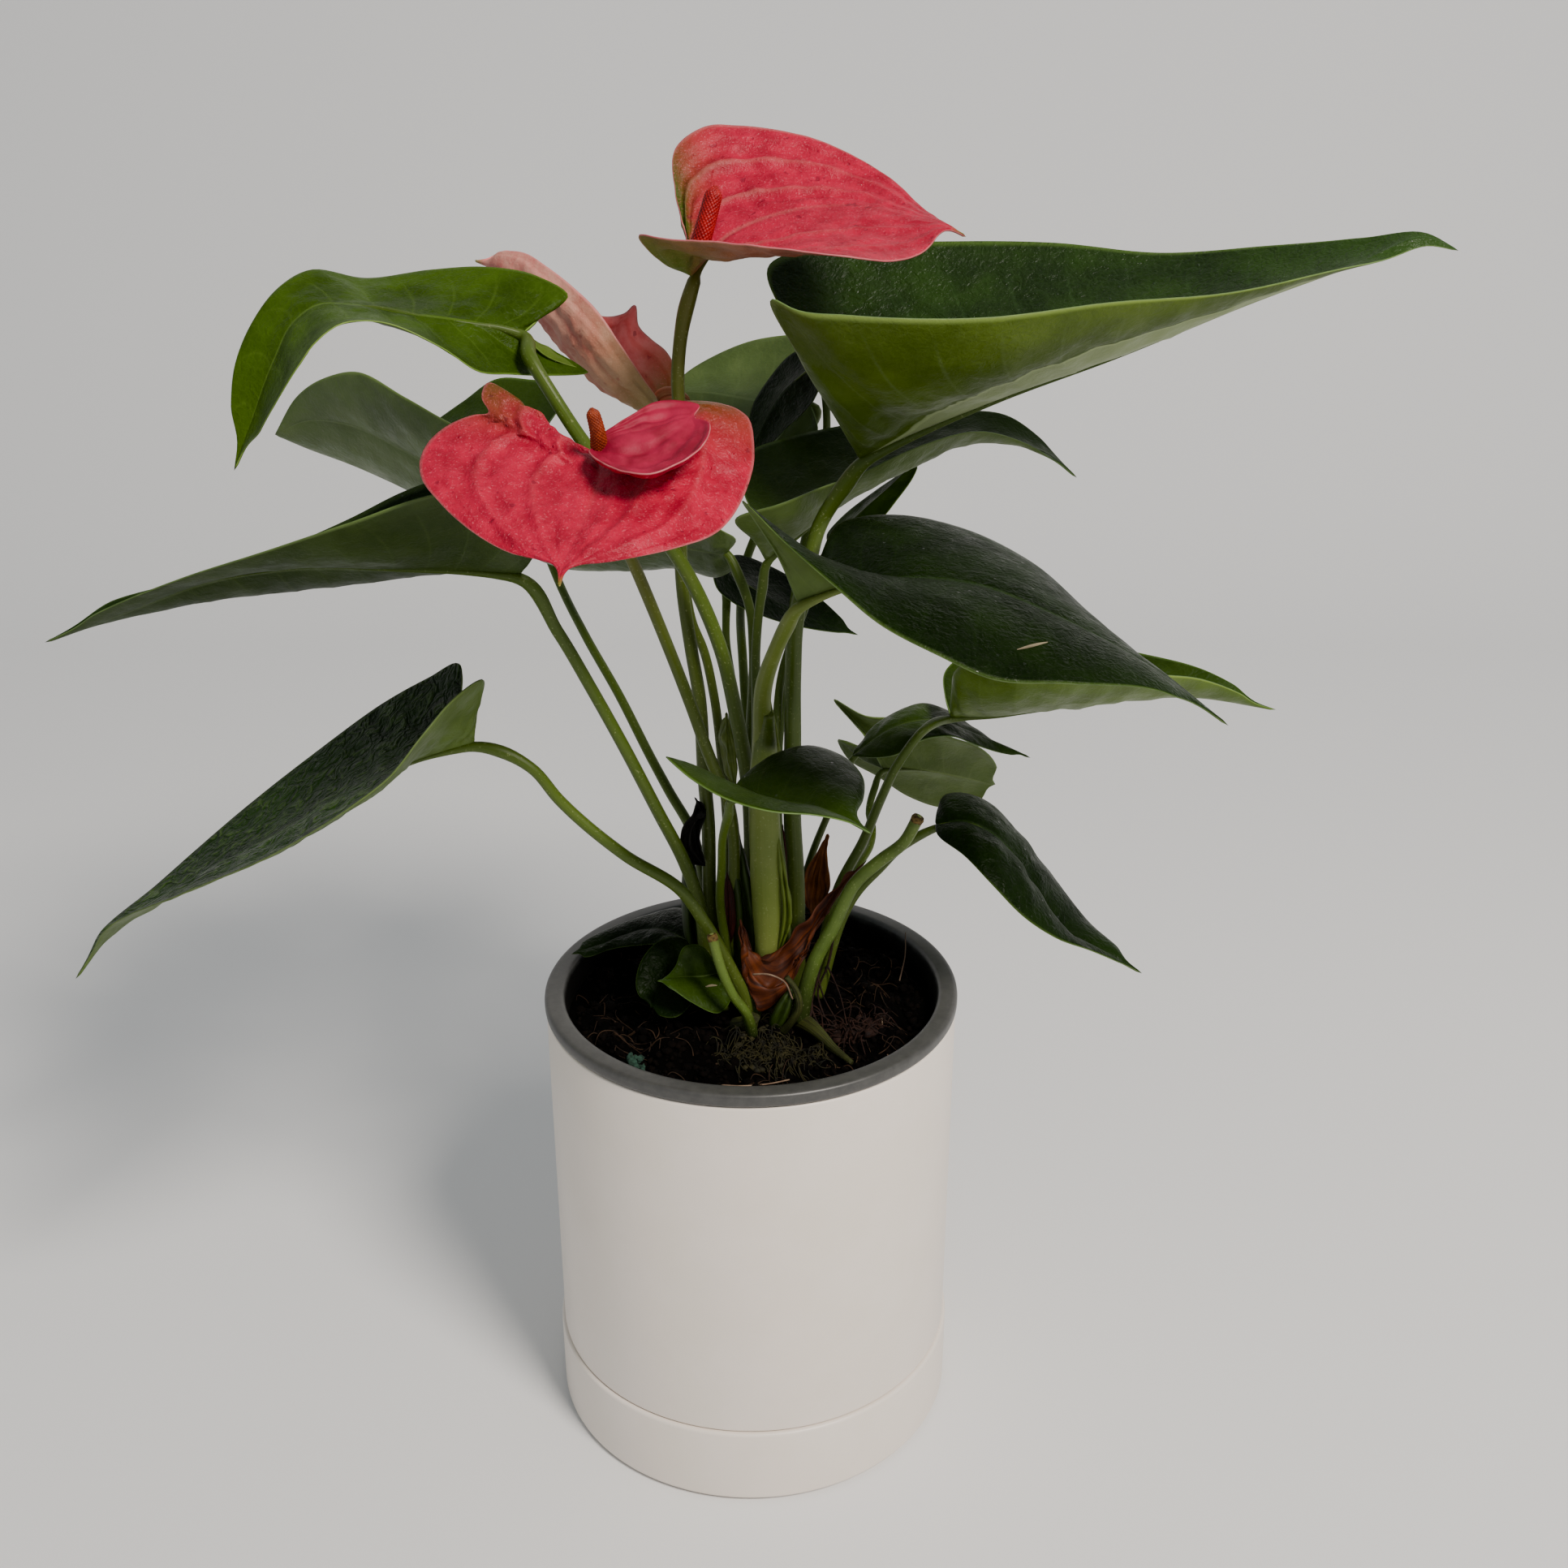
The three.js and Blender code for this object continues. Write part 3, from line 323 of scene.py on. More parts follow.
def sumOf(add, *parts):
    # Adds up outputs, each times its own number
    total = 0.0
    for output, weight in parts:
        total = add("Math", {0: output, 1: weight, 2: total}, operation="MULTIPLY_ADD")
    return total


def bladeCoordinates(add):
    # Share along the blade, and share from the rib to the margin: twice the distance of u from a half
    split = add("SeparateXYZ", {0: add("UVMap", uv_map="UVMap")}).node
    fromRib = add("Math", {0: split.outputs[0], 1: 0.5}, operation="SUBTRACT")
    side = add("Math", {0: add("Math", {0: fromRib}, operation="ABSOLUTE"), 1: 2.0}, operation="MULTIPLY")
    return split.outputs[1], side


def dropsAt(add, where, spacing, share):
    # Tiny round drops: near the middles of a share of the cells of a pattern with that spacing in millimetres
    cells = add("TexVoronoi", {"Vector": where, "Scale": 1000 / spacing}).node
    chosen = add("MapRange", {0: cells.outputs["Color"], 1: 1 - share, 2: 1.02 - share}, **smooth)
    near = add("MapRange", {0: cells.outputs["Distance"], 1: 0.04, 2: 0.16, 3: 1.0, 4: 0.0}, **smooth)
    return add("Math", {0: near, 1: chosen}, operation="MULTIPLY")


def veinsOfLeaf(add, along, side, veins, strength):
    # Side veins lie where the share along the blade, moved on by their bow, times their number is whole, and
    # fade towards the margin; the midrib lies where the share from the rib is least
    inward = add("Math", {0: 1.0, 1: side}, operation="SUBTRACT")
    bow = add("Math", {0: inward, 1: side}, operation="MULTIPLY")
    place = add("Math", {0: bow, 1: veinBow, 2: along}, operation="MULTIPLY_ADD")
    phase = add("Math", {0: place, 1: float(veins)}, operation="MULTIPLY")
    away = add("Math", {0: phase, 1: 0.5}, operation="PINGPONG")
    line = add("MapRange", {0: away, 1: 0.0, 2: 0.06, 3: strength, 4: 0.0}, **smooth)
    fading = add("MapRange", {0: side, 1: 1.0, 2: 0.6}, **smooth)
    midrib = add("MapRange", {0: side, 1: 0.018, 2: 0.03, 3: 1.0, 4: 0.0}, **smooth)
    sideVein = add("Math", {0: line, 1: fading}, operation="MULTIPLY")
    return add("Math", {0: sideVein, 1: midrib}, operation="MAXIMUM")


def leafFace(name, look, veins, upper):
    # Living leaf under its own wax: the smooth cuticle gives a satin sheen, which fine cells, dents and a few
    # wet drops break up, and the green under it is clouded, with paler veins and margin
    material, add, where = newMaterial(name, Roughness=look["gloss"], IOR=1.45,
                                       Specular_IOR_Level=look["shine"], Coat_Roughness=0.15)
    along, side = bladeCoordinates(add)
    vein = veinsOfLeaf(add, along, side, veins, look["veinStrength"])
    jitter = add("TexNoise", {"Vector": where, "Scale": 1000 / 2.4, "Detail": 2.0}, 1)
    shaken = add("Mix", {0: 0.0015, 6: where, 7: jitter}, 2, data_type="RGBA", blend_type="ADD")
    net = add("TexVoronoi", {"Vector": shaken, "Scale": 420.0}, feature="DISTANCE_TO_EDGE")
    netVein = add("MapRange", {0: net, 1: 0.0, 2: 0.14, 3: 1.0, 4: 0.0}, **smooth)
    patch = add("TexNoise", {"Vector": where, "Scale": 1000 / 22, "Detail": 3.0, "Roughness": 0.6})
    streak = add("TexNoise", {"Vector": where, "Scale": 1000 / 3.5, "Detail": 4.0, "Roughness": 0.7})
    layers = [(patch, 0.35, 0.68, 1.0, look["light"]), (streak, 0.45, 0.8, 0.3, look["light"])]
    if "ripple" in look:
        ripple = add("TexNoise", {"Vector": where, "Scale": 1000 / look["rippleSize"], "Distortion": 1.6})
    # The raised backs of the ripples are coloured lighter: painted highlights that make the dents show.
    if "ridge" in look:
        layers.append((ripple, 0.5, 0.66, 0.75, look["ridge"]))
    layers += [(along, 0.72, 1.0, 0.6, look["tip"]), (side, 0.965, 1.0, 0.6, look["edge"]),
               (sumOf(add, (netVein, 0.10 if upper else 0.03)), look["vein"]),
               (sumOf(add, (vein, 0.7)), look["vein"])]
    # On a folded underside the stalk's side of the fold is paler, painted sheen, and a painted highlight runs
    # along the crease.
    if "fold" in look:  # paler on the stalk's side of the fold, with a bright line along it
        foldPlace = add("MapRange", {0: along, 1: 0.2, 2: 0.6, 3: 0.05, 4: 0.52}, **smooth)
        past = add("Math", {0: side, 1: foldPlace}, operation="SUBTRACT")
        paintedCreaseLine = add("Math", {0: sumOf(add, (past, 1.0), (0.015, 1.0))}, operation="ABSOLUTE")
        layers += [(past, 0.0, -0.03, 0.75, look["fold"]), (paintedCreaseLine, 0.016, 0.004, 0.6, look["paintedCreaseLine"])]
    grain = add("TexNoise", {"Vector": where, "Scale": 1000, "Detail": 2.0, "Roughness": 0.6})
    dent = add("TexNoise", {"Vector": where, "Scale": 1000 / 2.6, "Detail": 3.0, "Roughness": 0.65,
                            "Distortion": 0.6})
    drop = dropsAt(add, where, 3.4, look["drops"])
    relief = [(netVein, 0.05 if upper else 0.01), (grain, 0.2), (vein, -0.1 if upper else 0.1), (dent, 0.8),
              (drop, 0.35)]
    if "ripple" in look:
        relief.append((ripple, look["ripple"]))
    cloud = add("TexNoise", {"Vector": where, "Scale": 1000 / 7, "Detail": 3.0, "Roughness": 0.7})
    gloss = look["gloss"]
    dull = add("MapRange", {0: cloud, 1: 0.3, 2: 0.7, 3: gloss - 0.08, 4: gloss + 0.1}, **smooth)
    return finishMaterial(material, {
        "Base Color": layColours(add, look["dark"], *layers),
        "Roughness": add("Math", {0: drop, 1: -0.8 * gloss, 2: dull}, operation="MULTIPLY_ADD"),
        "Coat Weight": sumOf(add, (drop, 0.7)),
        "Normal": add("Bump", {"Height": sumOf(add, *relief), "Distance": mm, "Strength": look["bump"]})})


def plainLiving(name, dark, light, roughness, size=4.0, bump=0.25):
    # Smooth living skin, as on a margin, a spike or a cut: satin, faintly mottled from dark to light
    material, add, where = newMaterial(name, Roughness=roughness, IOR=1.45, Specular_IOR_Level=0.3)
    mottle = add("TexNoise", {"Vector": where, "Scale": 1000 / size, **soft})
    cells = add("TexNoise", {"Vector": where, "Scale": 1000 / 0.6, **soft})
    return finishMaterial(material, {
        "Base Color": layColours(add, dark, (mottle, 0.3, 0.7, 1.0, light)),
        "Normal": add("Bump", {"Height": cells, "Distance": mm * 0.1, "Strength": bump})})


def stalkSkin(name, foot, middle, top):
    # Living stalk skin, grown in fine lengthwise ribs: satin lines along it, paler at the foot and greener
    # towards the blade, with small pale flecks
    material, add, where = newMaterial(name, Roughness=0.42, IOR=1.45, Specular_IOR_Level=0.3)
    uv = add("UVMap", uv_map="UVMap")
    along = add("SeparateXYZ", {0: uv}, 1)
    patch = add("TexNoise", {"Vector": where, "Scale": 1000 / 7, **soft})
    fleck = add("TexNoise", {"Vector": where, "Scale": 1000 / 0.8, "Detail": 2.0, "Roughness": 0.55})
    ribPlace = add("Mapping", {"Vector": uv, "Scale": (24.0, 1.5, 1.0)})
    ribs = add("TexNoise", {"Vector": ribPlace, "Scale": 1.0, "Detail": 2.0})
    colour = layColours(add, foot, (along, 0.0, 0.35, 1.0, middle), (along, 0.55, 0.95, 1.0, top),
                        (patch, 0.4, 0.75, 0.35, foot), (fleck, 0.62, 0.72, 0.25, "#a9b07a"))
    return finishMaterial(material, {
        "Base Color": colour,
        "Normal": add("Bump", {"Height": ribs, "Distance": mm * 0.25, "Strength": 0.5})})


def spatheFace(name, look, veins):
    # Living waxy bract, coral red: satin with tiny cells that carry painted glints, dents and dark pits,
    # olive towards the outer lobes and paler along the veins, and faintly deep because light goes into it
    material, add, where = newMaterial(name, Roughness=look["gloss"], IOR=1.45,
                                       Specular_IOR_Level=look["shine"], Subsurface_Weight=0.06,
                                       Subsurface_Radius=(0.002, 0.0008, 0.0006))
    along, side = bladeCoordinates(add)
    phase = add("Math", {0: side, 1: float(veins)}, operation="MULTIPLY")
    away = add("Math", {0: phase, 1: 0.5}, operation="PINGPONG")
    line = add("MapRange", {0: away, 1: 0.0, 2: 0.12, 3: look["veinStrength"], 4: 0.0}, **smooth)
    fading = add("MapRange", {0: along, 1: 0.9, 2: 0.2}, **smooth)
    patch = add("TexNoise", {"Vector": where, "Scale": 1000 / 8, "Detail": 4.0, "Roughness": 0.65})
    cell = add("TexNoise", {"Vector": where, "Scale": 1000 / 0.6, "Detail": 2.0, "Roughness": 0.75})
    spot = add("TexNoise", {"Vector": where, "Scale": 1000 / 3, "Detail": 1.5, "Roughness": 0.55})
    dent = add("TexNoise", {"Vector": where, "Scale": 1000 / 2, "Detail": 3.0, "Roughness": 0.6,
                            "Distortion": 0.8})
    speck = add("MapRange", {0: spot, 1: 0.68, 2: 0.74, 4: 0.5}, **smooth)
    ragged = add("Math", {0: sumOf(add, (patch, 0.7), (side, 1.0)), 1: 0.35}, operation="SUBTRACT")
    near = add("MapRange", {0: along, 1: look["greenTo"], 2: look["greenFrom"]}, **smooth)
    outer = add("MapRange", {0: ragged, 1: look["greenIn"], 2: look["greenOut"]}, **smooth)
    colour = layColours(add, look["dark"], (patch, 0.32, 0.68, 1.0, look["light"]),
                        (add("Math", {0: line, 1: fading}, operation="MULTIPLY"), look["vein"]),
                        (add("Math", {0: near, 1: outer}, operation="MULTIPLY"), look["green"]),
                        (along, 0.955, 1.0, 1.0, look["tip"]), (side, 0.975, 1.0, 0.6, look["edge"]),
                        (cell, 0.55, 0.8, 0.5, look["glint"]), (speck, look["speck"]))
    drop = dropsAt(add, where, 3.2, look["drops"])
    height = sumOf(add, (cell, 0.4), (speck, -0.5), (dent, 0.9), (drop, 0.6))
    return finishMaterial(material, {
        "Base Color": colour,
        "Roughness": add("Math", {0: drop, 1: -0.8 * look["gloss"], 2: look["gloss"]},
                         operation="MULTIPLY_ADD"),
        "Normal": add("Bump", {"Height": height, "Distance": mm * 0.8, "Strength": look["bump"]})})


def innerWallDarkShare(add, where, innerWallDark):
    # The inner wall of a pot turns near black: inside a radius, and below a height that noise makes ragged
    flat = add("VectorMath", {0: where, 1: (1, 1, 0)}, operation="MULTIPLY")
    outward = add("VectorMath", {0: flat}, 1, operation="LENGTH")
    noise = add("TexNoise", {"Vector": where, "Scale": 1000 / 4, **soft})
    ragged = sumOf(add, (noise, 0.003), (add("SeparateXYZ", {0: where}, 2), 1.0))
    below = add("MapRange", {0: ragged, 1: innerWallDark["top"], 2: innerWallDark["top"] - 0.002}, **smooth)
    inside = add("MapRange", {0: outward, 1: innerWallDark["radius"] + 0.0005, 2: innerWallDark["radius"]}, **smooth)
    return add("Math", {0: below, 1: inside}, operation="MULTIPLY")


def grainy(name, dark, light, roughness, size, bump, distance, shine=0.2, innerWallDark=None):
    # Moulded, pressed or crumbled stuff without sheen of its own: matt to satin, faintly clouded, evenly
    # grained; size is that of the clouds and distance the height of the grain, both in millimetres
    material, add, where = newMaterial(name, Roughness=roughness, IOR=1.5, Specular_IOR_Level=shine)
    cloud = add("TexNoise", {"Vector": where, "Scale": 1000 / size, "Detail": 5.0, "Roughness": 0.65})
    fine = add("TexNoise", {"Vector": where, "Scale": 1000 / (size * 0.15), "Detail": 4.0, "Roughness": 0.55})
    broad = add("TexNoise", {"Vector": where, "Scale": 1000 / size, **soft})
    layers = [(cloud, 0.3, 0.7, 1.0, light)] if light else []
    if innerWallDark:
        layers.append((innerWallDarkShare(add, where, innerWallDark), innerWallDark["colour"]))
    return finishMaterial(material, {
        "Base Color": layColours(add, dark, *layers),
        "Normal": add("Bump", {"Height": sumOf(add, (fine, 1.0), (broad, 0.5)), "Distance": mm * distance,
                               "Strength": bump})})


def dryFace(name, dark, light, roughness, ridge=0.6, streaks=26.0):
    # Dried or young papery skin: long fibres give dark and light streaks, with a ridge of that height in
    # millimetres on each, and its sheen is dull; streaks is their number across
    material, add, where = newMaterial(name, Roughness=roughness, IOR=1.45, Specular_IOR_Level=0.25)
    fibrePlace = add("Mapping", {"Vector": add("UVMap", uv_map="UVMap"), "Scale": (streaks, 2.2, 1.0)})
    streak = add("TexNoise", {"Vector": fibrePlace, "Scale": 1.0, "Detail": 4.0})
    patch = add("TexNoise", {"Vector": where, "Scale": 1000 / 5, **soft})
    colour = layColours(add, dark, (streak, 0.3, 0.72, 1.0, light), (patch, 0.35, 0.7, 0.6, dark))
    return finishMaterial(material, {
        "Base Color": colour,
        "Normal": add("Bump", {"Height": streak, "Distance": mm * ridge, "Strength": 0.8})})


# Stalks and leaves
stalkLooks = {
    "leafStalk": {"foot": "#4c5a1e", "middle": "#435610", "top": "#3c4f0e"},
    "innerStalk": {"foot": "#78823e", "middle": "#63722a", "top": "#42540f"},
    "cutStalk": {"foot": "#202a0a", "middle": "#4f6422", "top": "#5a6e2a"},
    "flowerStalk": {"foot": "#4d5c17", "middle": "#414f0c", "top": "#565412"},
    "backStalk": {"foot": "#33420f", "middle": "#2a3a0c", "top": "#304110"},
}
stalkMaterials = {name: stalkSkin(name, **look) for name, look in stalkLooks.items()}

leafLooks = {
    # The darkest upper faces are darker copies of the leaf colours: painted shade for leaves that lie in
    # shade.
    "paintedShadeLeaf": {"dark": "#081402", "light": "#102003", "vein": "#1f3210", "tip": "#1b2f08",
        "edge": "#435a22", "gloss": 0.34, "shine": 0.06, "veinStrength": 0.22, "bump": 0.6, "drops": 0.35,
        "ripple": 0.8, "rippleSize": 3.0},
    "hammeredLeaf": {"dark": "#0e2204", "light": "#1c3608", "vein": "#2c4814", "tip": "#2a4210",
        "edge": "#4a5c2c", "gloss": 0.4, "shine": 0.09, "veinStrength": 0.2, "bump": 1.0, "drops": 0.1,
        "ripple": 4.2, "rippleSize": 5.0, "ridge": "#42582a"},
    "shadedLeaf": {"dark": "#16260a", "light": "#22380e", "vein": "#36502a", "tip": "#34501c",
        "edge": "#587530", "gloss": 0.34, "shine": 0.12, "veinStrength": 0.25, "bump": 0.7, "drops": 0.35,
        "ripple": 0.9, "rippleSize": 3.2},
    "midLeaf": {"dark": "#1e3006", "light": "#2b3e0e", "vein": "#3f5222", "tip": "#304a10",
        "edge": "#587530", "gloss": 0.38, "shine": 0.08, "veinStrength": 0.2, "bump": 0.5, "drops": 0.25},
    # The pale look is a paler, greyer copy of the leaf colours: painted sky sheen on leaves at the back, on
    # top of their own gloss.
    "paintedSheenLeaf": {"dark": "#3a4c1c", "light": "#4c5e2c", "vein": "#56683a", "tip": "#45591f",
        "edge": "#62783c", "gloss": 0.42, "shine": 0.4, "veinStrength": 0.25, "bump": 0.4, "drops": 0.06},
    "brightLeaf": {"dark": "#273b04", "light": "#38510a", "vein": "#4f6722", "tip": "#3c5408",
        "edge": "#5e7a2c", "gloss": 0.38, "shine": 0.07, "veinStrength": 0.35, "bump": 0.6, "drops": 0.04},
    # The darkest undersides are darker copies too: painted shade for undersides that lie in shade.
    "paintedShadeUnder": {"dark": "#28370f", "light": "#364618", "vein": "#4a5c2a", "tip": "#33451a",
        "edge": "#566a34", "gloss": 0.5, "shine": 0.25, "veinStrength": 0.35, "bump": 0.35, "drops": 0.05},
    "midUnder": {"dark": "#42541c", "light": "#52662a", "vein": "#5f7236", "tip": "#475c20",
        "edge": "#6c8044", "gloss": 0.5, "shine": 0.25, "veinStrength": 0.35, "bump": 0.35, "drops": 0.04},
    "broadUnder": {"dark": "#3c4e08", "light": "#4b5e12", "vein": "#7b8a62", "tip": "#42580e",
        "edge": "#7a8e4a", "gloss": 0.46, "shine": 0.15, "veinStrength": 0.18, "bump": 0.35, "drops": 0.04,
        # The fold colour is painted sheen and the crease colour a painted highlight line.
        "fold": "#95a276", "paintedCreaseLine": "#a9b684"},
    "brightUnder": {"dark": "#445810", "light": "#546a20", "vein": "#6a7e3c", "tip": "#46600c",
        "edge": "#84984a", "gloss": 0.46, "shine": 0.25, "veinStrength": 0.22, "bump": 0.35, "drops": 0.04},
}
# The darkest leaves' edges are darker, painted shade, and the palest leaves' edges are paler, painted sheen.
edgeMaterials = {"paintedShadeLeaf": plainLiving("paintedShadeEdge", "#43562a", "#566a38", 0.45),
                 "hammeredLeaf": plainLiving("hammeredEdge", "#3f5028", "#526236", 0.45),
                 "shadedLeaf": plainLiving("shadedEdge", "#587040", "#6a8246", 0.45),
                 "midLeaf": plainLiving("midEdge", "#51693a", "#637c40", 0.45),
                 "paintedSheenLeaf": plainLiving("paintedSheenEdge", "#5c7042", "#6d824e", 0.45),
                 "brightLeaf": plainLiving("brightEdge", "#5f7a2a", "#728c3c", 0.45)}

